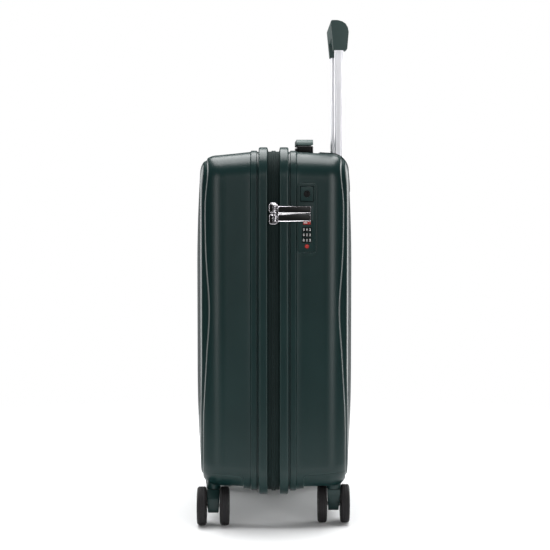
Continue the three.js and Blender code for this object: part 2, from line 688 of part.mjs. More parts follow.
addShells();
addZip();
addSliders();
addLock();
addBezel();
addTubes();
addGrip();
addCarryHandle();
addGuards();
addCasters();
addInside();

export default suitcase;
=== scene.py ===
import logging
import math
from dataclasses import dataclass, field
from enum import Enum
from typing import Any, Callable, Iterable, Sequence

import bmesh
import bpy
from mathutils import Matrix, Vector


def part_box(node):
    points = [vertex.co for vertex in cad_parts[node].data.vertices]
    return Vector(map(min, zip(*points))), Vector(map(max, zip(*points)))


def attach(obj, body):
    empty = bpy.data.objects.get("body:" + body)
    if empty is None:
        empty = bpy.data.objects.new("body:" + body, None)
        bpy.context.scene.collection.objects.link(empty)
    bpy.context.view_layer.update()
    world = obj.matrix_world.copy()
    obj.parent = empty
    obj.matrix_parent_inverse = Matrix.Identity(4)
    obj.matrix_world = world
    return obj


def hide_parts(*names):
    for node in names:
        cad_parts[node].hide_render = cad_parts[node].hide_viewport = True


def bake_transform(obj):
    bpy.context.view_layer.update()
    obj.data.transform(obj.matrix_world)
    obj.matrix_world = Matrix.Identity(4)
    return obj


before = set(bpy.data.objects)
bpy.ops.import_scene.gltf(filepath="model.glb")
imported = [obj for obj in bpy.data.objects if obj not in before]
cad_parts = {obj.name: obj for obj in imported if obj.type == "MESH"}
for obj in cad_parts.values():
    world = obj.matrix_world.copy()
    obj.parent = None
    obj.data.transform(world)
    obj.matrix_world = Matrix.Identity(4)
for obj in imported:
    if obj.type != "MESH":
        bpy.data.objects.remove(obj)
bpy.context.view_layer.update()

LOG = logging.getLogger("suitcase")
MM = 0.001
Colour = tuple[float, float, float]


# ---------------------------------------------------------------- shader maths
class Shade:
    """A value on a shader socket, with Python's operators standing for Math nodes."""

    def __init__(self, graph: "Graph", socket: bpy.types.NodeSocket) -> None:
        """Wrap one output socket of a graph."""
        self.graph = graph
        self.socket = socket

    def _math(self, operation: str, *values: Any) -> "Shade":
        """Add one Math node fed with the given values."""
        return self.graph.add("ShaderNodeMath", {"operation": operation}, dict(enumerate(values)))

    def __add__(self, other: Any) -> "Shade":
        """self + other."""
        return self._math("ADD", self, other)

    def __sub__(self, other: Any) -> "Shade":
        """self - other."""
        return self._math("SUBTRACT", self, other)

    def __mul__(self, other: Any) -> "Shade":
        """self * other."""
        return self._math("MULTIPLY", self, other)

    def __truediv__(self, other: Any) -> "Shade":
        """self / other."""
        return self._math("DIVIDE", self, other)

    def __radd__(self, other: Any) -> "Shade":
        """other + self."""
        return self._math("ADD", other, self)

    def __rsub__(self, other: Any) -> "Shade":
        """other - self."""
        return self._math("SUBTRACT", other, self)

    def __rmul__(self, other: Any) -> "Shade":
        """other * self."""
        return self._math("MULTIPLY", other, self)

    def __pow__(self, other: Any) -> "Shade":
        """self ** other."""
        return self._math("POWER", self, other)

    def sine(self) -> "Shade":
        """The sine of the value."""
        return self._math("SINE", self)

    def size(self) -> "Shade":
        """The value without its sign."""
        return self._math("ABSOLUTE", self)

    def ramp(self, low: float, high: float) -> "Shade":
        """Run smoothly from 0 at low to 1 at high."""
        settings = {"interpolation_type": "SMOOTHSTEP", "clamp": True}
        return self.graph.add("ShaderNodeMapRange", settings, {0: self, 1: low, 2: high})


class Graph:
    """The node graph of one material, written as expressions."""

    def __init__(self, name: str) -> None:
        """Start an empty material with its Principled shader and output."""
        self.material = bpy.data.materials.new(name)
        self.material.use_nodes = True
        self.tree = self.material.node_tree
        self.tree.nodes.clear()
        self.shader = self.tree.nodes.new("ShaderNodeBsdfPrincipled")
        self.output = self.tree.nodes.new("ShaderNodeOutputMaterial")
        self.tree.links.new(self.shader.outputs[0], self.output.inputs[0])

    def feed(self, socket: bpy.types.NodeSocket, value: Any) -> None:
        """Link a shade to a socket, or set a plain value on it."""
        if isinstance(value, Shade):
            self.tree.links.new(value.socket, socket)
        else:
            socket.default_value = value

    def add(self, kind: str, settings: dict[str, Any] | None = None,
            inputs: dict[Any, Any] | None = None, output: Any = 0) -> Shade:
        """Add any node.

        Args:
            kind: the node's type name.
            settings: its properties, set first.
            inputs: values or shades for its sockets, by name or number.
            output: the output socket to return, by name or number.

        Returns:
            The chosen output as a shade.
        """
        node = self.tree.nodes.new(kind)
        for name, value in (settings or {}).items():
            setattr(node, name, value)
        for name, value in (inputs or {}).items():
            self.feed(node.inputs[name], value)
        return Shade(self, node.outputs[output])

    def place(self) -> Shade:
        """Object coordinates, in metres."""
        return self.add("ShaderNodeTexCoord", output="Object")

    def axes(self) -> tuple[Shade, Shade, Shade]:
        """The three Object coordinates as separate values."""
        split = self.add("ShaderNodeSeparateXYZ", inputs={0: self.place()})
        node = split.socket.node
        return tuple(Shade(self, node.outputs[i]) for i in range(3))

    def noise(self, scale: float, detail: float = 3.0, stretch: Colour = (1, 1, 1)) -> Shade:
        """Noise over Object coordinates.

        Args:
            scale: how many features fit in a metre.
            detail: octaves.
            stretch: factors on the three axes.

        Returns:
            The noise value, about 0.5 on average.
        """
        spot = self.add("ShaderNodeMapping", inputs={"Vector": self.place(), "Scale": stretch})
        values = {"Vector": spot, "Scale": scale, "Detail": detail}
        return self.add("ShaderNodeTexNoise", inputs=values)

    def blend(self, amount: Any, first: Colour | Shade, second: Colour | Shade) -> Shade:
        """Mix two colours by an amount from 0 to 1.

        Args:
            amount: share of the second.
            first: colour or shade.
            second: colour or shade.

        Returns:
            The mixed colour.
        """
        def full(colour: Any) -> Any:
            """A colour with its alpha, or the shade as it is."""
            return colour if isinstance(colour, Shade) else (*colour, 1.0)
        values = {0: amount, 6: full(first), 7: full(second)}
        return self.add("ShaderNodeMix", {"data_type": "RGBA"}, values, output=2)

    def bump(self, height: Shade, depth: float, strength: float = 1.0) -> Shade:
        """Turn a height into a normal, with its full depth in metres.

        Args:
            height: the height, 0 to 1.
            depth: metres from 0 to 1.
            strength: how much it counts.

        Returns:
            The normal.
        """
        return self.add("ShaderNodeBump", inputs={
            "Height": height, "Distance": depth, "Strength": strength})

    def edges(self, radius: float) -> Shade:
        """Nearly 1 along sharp edges and 0 on open faces, from the pointiness of the surface."""
        point = self.add("ShaderNodeNewGeometry", output="Pointiness")
        return point.ramp(0.5 + radius, 0.5 + 3 * radius)

    def finish(self, **inputs: Any) -> bpy.types.Material:
        """Set the Principled shader's sockets by name, with _ for a space, and hand it over."""
        for name, value in inputs.items():
            self.feed(self.shader.inputs[name.replace("_", " ")], value)
        return self.material


# ---------------------------------------------------------------- finishes
@dataclass(frozen=True)
class Moulding:
    """Satin moulded plastic with a fine grain, slight mottling and rubbed edges."""

    name: str
    colour: Colour
    worn: Colour
    roughness: float = 0.42
    grain: float = 2600.0
    grain_depth: float = 0.00006
    coat: float = 0.0
    gloss: float = 0.34

    def build(self) -> bpy.types.Material:
        """Make the material."""
        g = Graph(self.name)
        cloud = g.noise(9.0, 4.0)
        grain = g.noise(self.grain, 2.0)
        body = g.blend(cloud.ramp(0.35, 0.65), self.colour, tuple(c * 1.12 for c in self.colour))
        fine = g.noise(420.0, 4.0).ramp(0.62, 0.8)
        body = g.blend(fine * 0.1, body, self.worn)
        rough = self.roughness + (cloud - 0.5) * 0.08 + (grain - 0.5) * 0.07
        return g.finish(
            Base_Color=g.blend(g.edges(0.012) * 0.35, body, self.worn),
            Roughness=rough,
            Normal=g.bump(grain, self.grain_depth, 0.5),
            Specular_IOR_Level=self.gloss,
            Coat_Weight=self.coat,
            Coat_Roughness=0.25,
        )


@dataclass(frozen=True)
class Tyre:
    """Matt charcoal polyurethane with scuffs and road dust on its tread."""

    name: str = "tyre_polyurethane"
    colour: Colour = (0.014, 0.0133, 0.0143)
    dust: Colour = (0.055, 0.053, 0.051)

    def build(self) -> bpy.types.Material:
        """Make the material."""
        g = Graph(self.name)
        scuffs = g.noise(700.0, 5.0)
        cloud = g.noise(60.0, 3.0)
        amount = scuffs.ramp(0.52, 0.75) * cloud.ramp(0.35, 0.7)
        return g.finish(
            Base_Color=g.blend(amount * 0.55, self.colour, self.dust),
            Roughness=0.62 + amount * 0.25,
            Specular_IOR_Level=0.22,
            Normal=g.bump(scuffs, 0.00012, 0.5),
        )


@dataclass(frozen=True)
class BrushedTube:
    """Anodised aluminium tube, drawn and brushed along its length."""

    name: str = "tube_aluminium"
    colour: Colour = (0.82, 0.82, 0.85)
    shade: Colour = (0.62, 0.62, 0.66)

    def build(self) -> bpy.types.Material:
        """Make the material."""
        g = Graph(self.name)
        lines = g.noise(2400.0, 2.0, stretch=(1, 1, 0.012))
        smudge = g.noise(30.0, 3.0)
        return g.finish(
            Base_Color=g.blend(lines.ramp(0.3, 0.7) * 0.5, self.colour, self.shade),
            Metallic=1.0,
            Roughness=0.2 + lines * 0.16 + smudge * 0.1,
            Normal=g.bump(lines, 0.00002, 0.4),
        )


@dataclass(frozen=True)
class Polished:
    """Plated metal, bright, with fine handling marks."""

    name: str
    colour: Colour = (0.86, 0.86, 0.88)
    roughness: float = 0.1

    def build(self) -> bpy.types.Material:
        """Make the material."""
        g = Graph(self.name)
        marks = g.noise(900.0, 6.0)
        cloud = g.noise(120.0, 2.0)
        dull = tuple(c * 0.82 for c in self.colour)
        return g.finish(
            Base_Color=g.blend(cloud.ramp(0.3, 0.7) * 0.4, self.colour, dull),
            Metallic=1.0,
            Roughness=self.roughness + marks.ramp(0.5, 0.75) * 0.12,
            Normal=g.bump(marks, 0.00002, 0.3),
        )


@dataclass(frozen=True)
class Woven:
    """Plain woven cloth: crossing threads, colour variation, painted shade in the low places between
    the threads and a soft sheen.
    """

    name: str
    colour: Colour
    shadow: Colour
    threads: float = 1400.0
    depth: float = 0.0003
    roughness: float = 0.85

    def build(self) -> bpy.types.Material:
        """Make the material."""
        g = Graph(self.name)
        x, y, z = g.axes()
        pitch = math.pi * self.threads
        across = ((x + y) * pitch).sine() * ((x - y) * pitch).sine()
        weave = across * (z * pitch).sine()
        fuzz = g.noise(self.threads * 2.0, 3.0)
        cloud = g.noise(14.0, 3.0)
        height = weave.size() * 0.7 + fuzz * 0.3
        tone = g.blend(cloud.ramp(0.35, 0.65) * 0.4, self.colour, self.shadow)
        return g.finish(
            # Low places of the weave take the darker colour: painted shade between the threads.
            Base_Color=g.blend(height.ramp(0.1, 0.6), self.shadow, tone),
            Roughness=self.roughness - height * 0.1,
            Normal=g.bump(height, self.depth, 0.6),
            Specular_IOR_Level=0.2,
            Sheen_Weight=0.06,
            Sheen_Roughness=0.4,
        )


class Finish(Enum):
    """The finishes of this suitcase, each with the record's material slot it belongs to."""

    SHELL = "shell_green"
    HANDLE = "handle_green"
    BLACK = "black_plastic"
    TYRE = "tyre_grey"
    TUBE = "tube_aluminium"
    CHROME = "zip_chrome"
    STEEL = "axle_steel"
    TAPE = "zip_fabric"
    LINING = "lining_fabric"
    RED = "red_enamel"
    DIGITS = "black_plastic.digits"


def make_finishes() -> dict[Finish, bpy.types.Material]:
    """Build every finish once.

    Returns:
        The materials by finish.
    """
    recipes = {
        Finish.SHELL: Moulding("shell_green", (0.0042, 0.0205, 0.02), (0.02, 0.045, 0.043), 0.31),
        Finish.HANDLE: Moulding("handle_green", (0.03, 0.06, 0.056), (0.07, 0.11, 0.1), 0.46,
                                gloss=0.4),
        Finish.BLACK: Moulding("black_moulding", (0.0025, 0.0026, 0.0027), (0.015, 0.015, 0.015),
                               0.36, gloss=0.16),
        Finish.TYRE: Tyre(),
        Finish.TUBE: BrushedTube(),
        Finish.CHROME: Polished("zip_chrome", (0.62, 0.6, 0.63), 0.17),
        Finish.STEEL: Polished("axle_steel", (0.6, 0.6, 0.62), 0.3),
        Finish.TAPE: Woven("zip_tape", (0.012, 0.028, 0.027), (0.004, 0.01, 0.0095)),
        Finish.LINING: Woven("lining_polyester", (0.13, 0.135, 0.14), (0.05, 0.052, 0.056), 900.0),
        Finish.RED: Moulding("red_enamel", (0.42, 0.012, 0.01), (0.6, 0.1, 0.08), 0.25, coat=0.5),
        Finish.DIGITS: Moulding("digit_white", (0.75, 0.75, 0.74), (0.9, 0.9, 0.9), 0.5),
    }
    return {key: recipe.build() for key, recipe in recipes.items()}


# ---------------------------------------------------------------- mesh tools
Build = Callable[[bmesh.types.BMesh], None]
SHARP_ANGLE = math.radians(38)


def mesh_object(name: str, bm: bmesh.types.BMesh) -> bpy.types.Object:
    """Turn a bmesh into a linked object with clean, outward faces, and free the bmesh.

    Args:
        name: the object's name.
        bm: the filled bmesh, freed here.

    Returns:
        The new object.
    """
    bmesh.ops.remove_doubles(bm, verts=bm.verts, dist=1e-6)
    bmesh.ops.recalc_face_normals(bm, faces=bm.faces)
    mesh = bpy.data.meshes.new(name)
    bm.to_mesh(mesh)
    bm.free()
    piece = bpy.data.objects.new(name, mesh)
    bpy.context.scene.collection.objects.link(piece)
    return piece


def built(name: str, build: Build) -> bpy.types.Object:
    """Make an object from a function that fills a bmesh.

    Args:
        name: the object's name.
        build: fills the bmesh.

    Returns:
        The new object.
    """
    bm = bmesh.new()
    build(bm)
    return mesh_object(name, bm)


def discard(piece: bpy.types.Object) -> None:
    """Remove a helper object and its mesh."""
    mesh = piece.data
    bpy.data.objects.remove(piece)
    bpy.data.meshes.remove(mesh)


def settle(piece: bpy.types.Object) -> bpy.types.Object:
    """Apply a piece's modifiers to its mesh."""
    graph = bpy.context.evaluated_depsgraph_get()
    mesh = bpy.data.meshes.new_from_object(piece.evaluated_get(graph))
    old = piece.data
    piece.modifiers.clear()
    piece.data = mesh
    bpy.data.meshes.remove(old)
    return piece


def combine(piece: bpy.types.Object, operation: str,
            tools: Iterable[bpy.types.Object]) -> bpy.types.Object:
    """Cut, keep or add with tool solids, which are used up.

    Args:
        piece: the solid that is worked on.
        operation: DIFFERENCE, INTERSECT or UNION.
        tools: the other solids.

    Returns:
        The same piece.
    """
    tools = list(tools)
    for tool in tools:
        cut = piece.modifiers.new("cut", "BOOLEAN")
        cut.operation = operation
        cut.solver = "EXACT"
        cut.object = tool
    settle(piece)
    for tool in tools:
        discard(tool)
    return piece


def smooth(piece: bpy.types.Object, angle: float = SHARP_ANGLE) -> bpy.types.Object:
    """Shade a piece smooth, but for edges sharper than an angle.

    Args:
        piece: the object.
        angle: edges sharper than this stay sharp.

    Returns:
        The same piece.
    """
    piece.data.shade_smooth()
    piece.data.set_sharp_from_angle(angle=angle)
    return piece


def soften(piece: bpy.types.Object, width: float, segments: int = 3,
           angle: float = math.radians(34)) -> bpy.types.Object:
    """Round a piece's sharp edges with a Bevel modifier.

    Args:
        piece: the object.
        width: width of the rounding.
        segments: steps in it.
        angle: edges sharper than this are rounded.

    Returns:
        The same piece.
    """
    bevel = piece.modifiers.new("soft_edges", "BEVEL")
    bevel.width = width
    bevel.segments = segments
    bevel.limit_method = "ANGLE"
    bevel.angle_limit = angle
    bevel.miter_outer = "MITER_ARC"
    bevel.use_clamp_overlap = True
    settle(piece)
    return smooth(piece)


def block(name: str, low: Sequence[float], high: Sequence[float]) -> bpy.types.Object:
    """A plain block between two corners, for cutting or further work.

    Args:
        name: the object's name.
        low: the lowest corner.
        high: the highest corner.

    Returns:
        The block.
    """
    def build(bm: bmesh.types.BMesh) -> None:
        """Add the block."""
        low_v, high_v = Vector(low), Vector(high)
        sides = Matrix.Diagonal((*(high_v - low_v), 1))
        bmesh.ops.create_cube(bm, size=1, matrix=Matrix.Translation((low_v + high_v) / 2) @ sides)
    return built(name, build)


def prism(name: str, outline: Sequence[tuple[float, float]], axis: str, start: float, end: float,
          rounding: float = 0.0, segments: int = 6) -> bpy.types.Object:
    """Extrude a closed outline along an axis, with its corners rounded.

    Args:
        name: the object's name.
        outline: corners as (y, z) for axis x, (x, z) for axis y or (x, y) for axis z.
        axis: x, y or z.
        start: where the solid begins on the axis.
        end: where it ends.
        rounding: radius of the outline's corners.
        segments: steps in each round.

    Returns:
        The solid.
    """
    order = {"x": (2, 0, 1), "y": (0, 2, 1), "z": (0, 1, 2)}[axis]

    def build(bm: bmesh.types.BMesh) -> None:
        """Round the outline and extrude it."""
        corners = []
        for a, b in outline:
            flat = (a, b, start)
            corners.append(bm.verts.new([flat[i] for i in order]))
        face = bm.faces.new(corners)
        if rounding:
            bmesh.ops.bevel(bm, geom=list(bm.verts), offset=rounding, offset_type="OFFSET",
                            segments=segments, profile=0.5, affect="VERTICES", material=-1)
            face = bm.faces[:][0]
        grown = bmesh.ops.extrude_face_region(bm, geom=[face])["geom"]
        moved = [v for v in grown if isinstance(v, bmesh.types.BMVert)]
        step = [0.0, 0.0, 0.0]
        step["xyz".index(axis)] = end - start
        bmesh.ops.translate(bm, vec=step, verts=moved)
        bmesh.ops.contextual_create(bm, geom=[e for e in bm.edges if e.is_boundary])
    return built(name, build)


def rod(name: str, axis: str, radius: float, start: float, end: float, at: Sequence[float],
        sides: int = 48) -> bpy.types.Object:
    """A round bar along an axis; at gives the place of its axis on the other two.

    Args:
        name: the object's name.
        axis: x, y or z.
        radius: the bar's radius.
        start: where it begins on the axis.
        end: where it ends.
        at: a point that its axis runs through.
        sides: sides of its section.

    Returns:
        The bar.
    """
    def build(bm: bmesh.types.BMesh) -> None:
        """Add the bar, turned on to its axis."""
        turn = {"x": Matrix.Rotation(math.pi / 2, 4, "Y"), "y": Matrix.Rotation(math.pi / 2, 4, "X"),
                "z": Matrix.Identity(4)}[axis]
        middle = Vector(at)
        middle["xyz".index(axis)] = (start + end) / 2
        bmesh.ops.create_cone(bm, cap_ends=True, segments=sides, radius1=radius, radius2=radius,
                              depth=end - start, matrix=Matrix.Translation(middle) @ turn)
    return built(name, build)


def turned(name: str, profile: Sequence[tuple[float, float]], at: Vector, axis: str = "y",
           steps: int = 64, closed: bool = True) -> bpy.types.Object:
    """Spin a profile of (radius, along) points about an axis through a place.

    Args:
        name: the object's name.
        profile: points as (radius, along).
        at: where its origin is set down.
        axis: x, y or z.
        steps: steps in the turn.
        closed: whether the profile closes on itself.

    Returns:
        The turned solid.
    """
    def build(bm: bmesh.types.BMesh) -> None:
        """Spin the profile and set it down."""
        ring = [bm.verts.new((r, 0, h)) for r, h in profile]
        edges = [bm.edges.new(pair) for pair in zip(ring, ring[1:])]
        if closed:
            edges.append(bm.edges.new((ring[-1], ring[0])))
        bmesh.ops.spin(bm, geom=ring + edges, cent=(0, 0, 0), axis=(0, 0, 1), dvec=(0, 0, 0),
                       angle=2 * math.pi, steps=steps, use_merge=True, use_duplicate=False)
        turn = {"x": Matrix.Rotation(math.pi / 2, 4, "Y"), "y": Matrix.Rotation(-math.pi / 2, 4, "X"),
                "z": Matrix.Identity(4)}[axis]
        bmesh.ops.transform(bm, matrix=Matrix.Translation(at) @ turn, verts=bm.verts)
    return built(name, build)


def reworked(name: str, node: str) -> bpy.types.Object:
    """Copy a CAD node's mesh and merge its loose triangles into clean flat faces.

    Args:
        name: the object's name.
        node: the CAD node.

    Returns:
        The copy.
    """
    bm = bmesh.new()
    bm.from_mesh(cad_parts[node].data)
    bmesh.ops.remove_doubles(bm, verts=bm.verts, dist=5e-6)
    bmesh.ops.dissolve_limit(bm, angle_limit=math.radians(1.0), verts=bm.verts, edges=bm.edges)
    return mesh_object(name, bm)


def copied(name: str, pattern: bpy.types.Object, move: Vector) -> bpy.types.Object:
    """Copy a pattern piece and set its mesh down at a place.

    Args:
        name: the object's name.
        pattern: the piece to copy.
        move: how far it is moved.

    Returns:
        The copy.
    """
    mesh = pattern.data.copy()
    mesh.name = name
    mesh.transform(Matrix.Translation(move))
    piece = bpy.data.objects.new(name, mesh)
    bpy.context.scene.collection.objects.link(piece)
    return piece


@dataclass
class Workshop:
    """Dresses finished pieces and hands them to the frame."""

    finishes: dict[Finish, bpy.types.Material] = field(default_factory=make_finishes)

    def place(self, piece: bpy.types.Object, body: str | None, finish: Finish,
              stands_for: Sequence[str] = ()) -> bpy.types.Object:
        """Give a piece its finish, its body and the CAD nodes that it stands for.

        Args:
            piece: the finished object.
            body: the body it rides on, or None where it rides on no body.
            finish: its surface.
            stands_for: CAD nodes that it replaces.

        Returns:
            The same piece.
        """
        piece.data.materials.clear()
        piece.data.materials.append(self.finishes[finish])
        if body:
            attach(piece, body)
        if stands_for:
            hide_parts(*stands_for)
        LOG.info("%s rides on %s, %d faces", piece.name, body, len(piece.data.polygons))
        return piece

    def rework(self, name: str, node: str, body: str, finish: Finish, width: float,
               segments: int) -> None:
        """Round the edges of a CAD node's copy and place it in the node's stead.

        Args:
            name: the new piece's name.
            node: the CAD node.
            body: the body it rides on.
            finish: its surface.
            width: width of the rounding.
            segments: steps in the rounding.
        """
        self.place(soften(reworked(name, node), width, segments), body, finish, [node])


# ---------------------------------------------------------------- case form
class Half(Enum):
    """The two halves of the case and the side of the zip that each lies on."""

    FRONT = -1
    BACK = 1

    @property
    def body(self) -> str:
        """The half's body in the frame."""
        return f"{self.name.lower()}_half"

    @property
    def word(self) -> str:
        """The half's name in piece names."""
        return self.name.lower()


def bell(value: float, middle: float, width: float) -> float:
    """A smooth hump of height 1.

    Args:
        value: the place.
        middle: where the hump peaks.
        width: how far it spreads.

    Returns:
        The height, 0 to 1.
    """
    return math.exp(-(((value - middle) / width) ** 2))


def eased(value: float, low: float, high: float) -> float:
    """Rise smoothly from 0 at low to 1 at high.

    Args:
        value: the place.
        low: where the rise begins.
        high: where it ends.

    Returns:
        The height, 0 to 1.
    """
    t = min(max((value - low) / (high - low), 0.0), 1.0)
    return t * t * (3 - 2 * t)


def filleted(points: Sequence[tuple[float, float]], radii: Sequence[float],
             steps: int = 4) -> list[tuple[float, float]]:
    """Round the inner corners of an open line of points.

    Args:
        points: the line's corners.
        radii: one radius for each corner between the two ends.
        steps: pieces in each round.

    Returns:
        The rounded line.
    """
    line = [points[0]]
    for before, corner, after, radius in zip(points, points[1:], points[2:], radii):
        spot = Vector(corner)
        to_before, to_after = Vector(before) - spot, Vector(after) - spot
        reach = min(radius, to_before.length * 0.49, to_after.length * 0.49)
        start, end = spot + to_before.normalized() * reach, spot + to_after.normalized() * reach
        for i in range(steps + 1):
            t = i / steps
            line.append(tuple(start.lerp(spot, t).lerp(spot.lerp(end, t), t)))
    line.append(points[-1])
    return line


@dataclass(frozen=True)
class Station:
    """One place round the case outline: a quarter, and how far along its legs and corner."""

    quarter: int
    before: float
    turn: float
    after: float


@dataclass
class CaseForm:
    """The outer form of a half case, drawn from the frame's shells."""

    half: Half
    rib: float = 6.5 * MM
    wall: float = 3.2 * MM
    corner: float = 42 * MM
    edge_round: float = 24 * MM
    soft_turn: float = 10 * MM
    crown: float = 10 * MM
    lip: float = 8.5 * MM
    rib_end: float = 21 * MM
    band_end: float = 31.5 * MM
    arc_steps: int = 18
    upright_steps: int = 34
    level_steps: int = 22
    round_rows: int = 64
    face_rows: int = 22

    def __post_init__(self) -> None:
        """Take the outline and the depth from the shell's box."""
        low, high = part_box(f"{self.half.word}_shell")
        self.half_width = high.x
        self.middle = (low.z + high.z) / 2
        self.half_height = (high.z - low.z) / 2
        depth = high.y if self.half is Half.BACK else -low.y
        self.face = depth - self.crown
        self.draft = 0.1 if self.half is Half.FRONT else 0.06

    def stations(self) -> list[Station]:
        """Every place round the outline, anticlockwise from the middle of the right side."""
        made = []
        for quarter in range(4):
            upright_first = quarter % 2 == 0
            first = self.upright_steps if upright_first else self.level_steps
            last = self.level_steps if upright_first else self.upright_steps
            made += [Station(quarter, i / first, 0.0, 1.0) for i in range(first)]
            made += [Station(quarter, 1.0, i / self.arc_steps, 1.0) for i in range(self.arc_steps)]
            made += [Station(quarter, 1.0, 1.0, 1.0 - i / last) for i in range(last)]
        return made

    def point(self, at: Station, inset: float, scale: float = 1.0) -> tuple[float, float]:
        """The x and z of a station, stepped in by an inset and scaled to the middle.

        Args:
            at: the station.
            inset: how far inside the outline.
            scale: size about the middle.

        Returns:
            The x and z.
        """
        radius = self.corner - max(inset, 0.0) * 0.6
        centre_x = self.half_width - inset - radius
        centre_z = self.half_height - inset - radius
        angle = (at.quarter + at.turn) * math.pi / 2
        across, up = (at.after, at.before) if at.quarter % 2 == 0 else (at.before, at.after)
        sign_x = 1 if at.quarter in (0, 3) else -1
        sign_z = 1 if at.quarter < 2 else -1
        x = sign_x * centre_x * across + radius * math.cos(angle)
        z = sign_z * centre_z * up + radius * math.sin(angle)
        return x * scale, self.middle + z * scale

    def round_start(self, at: Station) -> float:
        """Depth at which the edge begins to round: sooner on the upright sides, for a softer turn."""
        upright = math.cos((at.quarter + at.turn) * math.pi / 2) ** 2
        return self.face - self.edge_round - self.soft_turn * upright

    def rim_profile(self) -> list[tuple[float, float]]:
        """Depth and inset from the lip over the rib, the groove and the band."""
        rib, end, band = self.rib, self.rib_end, self.band_end
        corners = [
            (self.lip, rib + 1.5 * MM), (self.lip, 0.0), (end, 0.0), (end, rib - 0.2 * MM),
            (end + 2.6 * MM, rib - 0.2 * MM), (end + 2.6 * MM, rib - 1.8 * MM),
            (band, rib - 1.8 * MM), (band + 1.0 * MM, rib), (band + 9 * MM, rib + 0.8 * MM),
        ]
        radii = [1.8 * MM, 2.6 * MM, 0.5 * MM, 0.5 * MM, 0.8 * MM, 0.9 * MM, 0.6 * MM]
        return filleted(corners, radii)

    def crease(self, height: float, angle: float) -> float:
        """How deep the sculpted crease lies at a height and an angle of the rounded edge.

        The crease runs round the face. On the long sides its ridge swings towards the zip at the
        waist, where the groove behind it is widest.

        Args:
            height: height above the floor.
            angle: how far round the rounded edge.

        Returns:
            The depth.
        """
        waist = bell(height, self.middle + 18 * MM, 62 * MM)
        low = eased(height, self.middle - 55 * MM, self.middle - 160 * MM)
        high = eased(height, self.middle + 160 * MM, self.middle + 235 * MM)
        ridge = math.radians(51 - 13 * waist + 11 * low - 15 * high)
        width = math.radians(17 + 12 * waist)
        depth = (1.5 + 1.5 * waist) * MM
        t = (angle - ridge) / width
        return depth * eased(t, -0.18, 0.26) * (1 - eased(t, 0.26, 1.05))

    def rows(self, wall: float = 0.0, creased: bool = True) -> list[Callable[[Station], Vector]]:
        """The rows of a half case from its rim to the middle of its face.

        Args:
            wall: how far the form is set in, for plain forms inside or outside the skin.
            creased: whether it has the rim's profile and the crease.

        Returns:
            One function for each row, which gives the place of a station on it.
        """
        side = self.half.value
        inset0 = self.rib + wall
        face_inset = inset0 + self.draft * (self.face - self.edge_round - self.band_end)
        face_inset += self.edge_round - wall
        first = self.band_end + 9 * MM if creased else self.band_end

        def level(depth: float, inset: float, scale: float = 1.0) -> Callable[[Station], Vector]:
            """A row at one depth and inset."""
            def place(at: Station) -> Vector:
                """The station's place on this row."""
                x, z = self.point(at, inset, scale)
                return Vector((x, side * depth, z))
            return place

        def leaning(share: float) -> Callable[[Station], Vector]:
            """A row on the drafted wall, at a share of the way to the rounding."""
            def place(at: Station) -> Vector:
                """The station's place on this row."""
                depth = first + share * (self.round_start(at) - first)
                x, z = self.point(at, inset0 + self.draft * (depth - self.band_end))
                return Vector((x, side * depth, z))
            return place

        def rounded(angle: float) -> Callable[[Station], Vector]:
            """A row on the rounded edge, sunk where the crease runs."""
            def place(at: Station) -> Vector:
                """The station's place on this row."""
                start = self.round_start(at)
                inset1 = inset0 + self.draft * (start - self.band_end)
                inset = inset1 + (face_inset - inset1) * (1 - math.cos(angle))
                depth = start + (self.face - wall - start) * math.sin(angle)
                _, height = self.point(at, inset)
                sunk = self.crease(height, angle) if creased else 0.0
                x, z = self.point(at, inset + sunk * math.cos(angle))
                return Vector((x, side * (depth - sunk * math.sin(angle)), z))
            return place

        made = []
        if creased:
            made += [level(depth, inset) for depth, inset in self.rim_profile()]
        else:
            made.append(level(1 * MM, inset0))
        made += [leaning(i / 6) for i in range(1 if creased else 0, 6)]
        made += [rounded(i / self.round_rows * math.pi / 2) for i in range(self.round_rows + 1)]
        for i in range(1, self.face_rows):
            scale = 1 - i / self.face_rows
            depth = self.face - wall + self.crown * (1 - scale ** 2)
            made.append(level(depth, face_inset, scale))
        return made

    def loft(self, name: str, wall: float = 0.0, creased: bool = True,
             capped: bool = False) -> bpy.types.Object:
        """Loft the rows into a skin, open or capped at the rim.

        Args:
            name: the object's name.
            wall: how far it is set in.
            creased: whether it has the rim's profile and the crease.
            capped: whether the rim is closed.

        Returns:
            The skin.
        """
        stations = self.stations()
        rows = self.rows(wall, creased)

        def build(bm: bmesh.types.BMesh) -> None:
            """Extrude one row from the other and close the face."""
            ring = bmesh.ops.create_circle(bm, cap_ends=False, segments=len(stations), radius=1)
            verts = ring["verts"]
            edges = list({e for v in verts for e in v.link_edges})
            for vert, at in zip(verts, stations):
                vert.co = rows[0](at)
            if capped:
                bm.faces.new(verts)
            for row in rows[1:]:
                grown = bmesh.ops.extrude_edge_only(bm, edges=edges)["geom"]
                edges = [g for g in grown if isinstance(g, bmesh.types.BMEdge)]
                fresh = {g for g in grown if isinstance(g, bmesh.types.BMVert)}
                following = []
                for vert in verts:
                    following.append(next(e.other_vert(vert) for e in vert.link_edges
                                          if e.other_vert(vert) in fresh))
                verts = following
                for vert, at in zip(verts, stations):
                    vert.co = row(at)
            tip = self.face - wall + self.crown
            bm.faces.new(verts)
            middle = bmesh.ops.poke(bm, faces=[bm.faces[:][-1]])["verts"][0]
            middle.co = (0, self.half.value * tip, self.middle)
        return built(name, build)


SIDES = {"left": -1, "right": 1}
STEM_X = 143 * MM
STEM_Y = 86 * MM
WELL_SIDE = 3.5 * MM
WELL_FRONT = 78 * MM
WELL_BOTTOM = 495 * MM


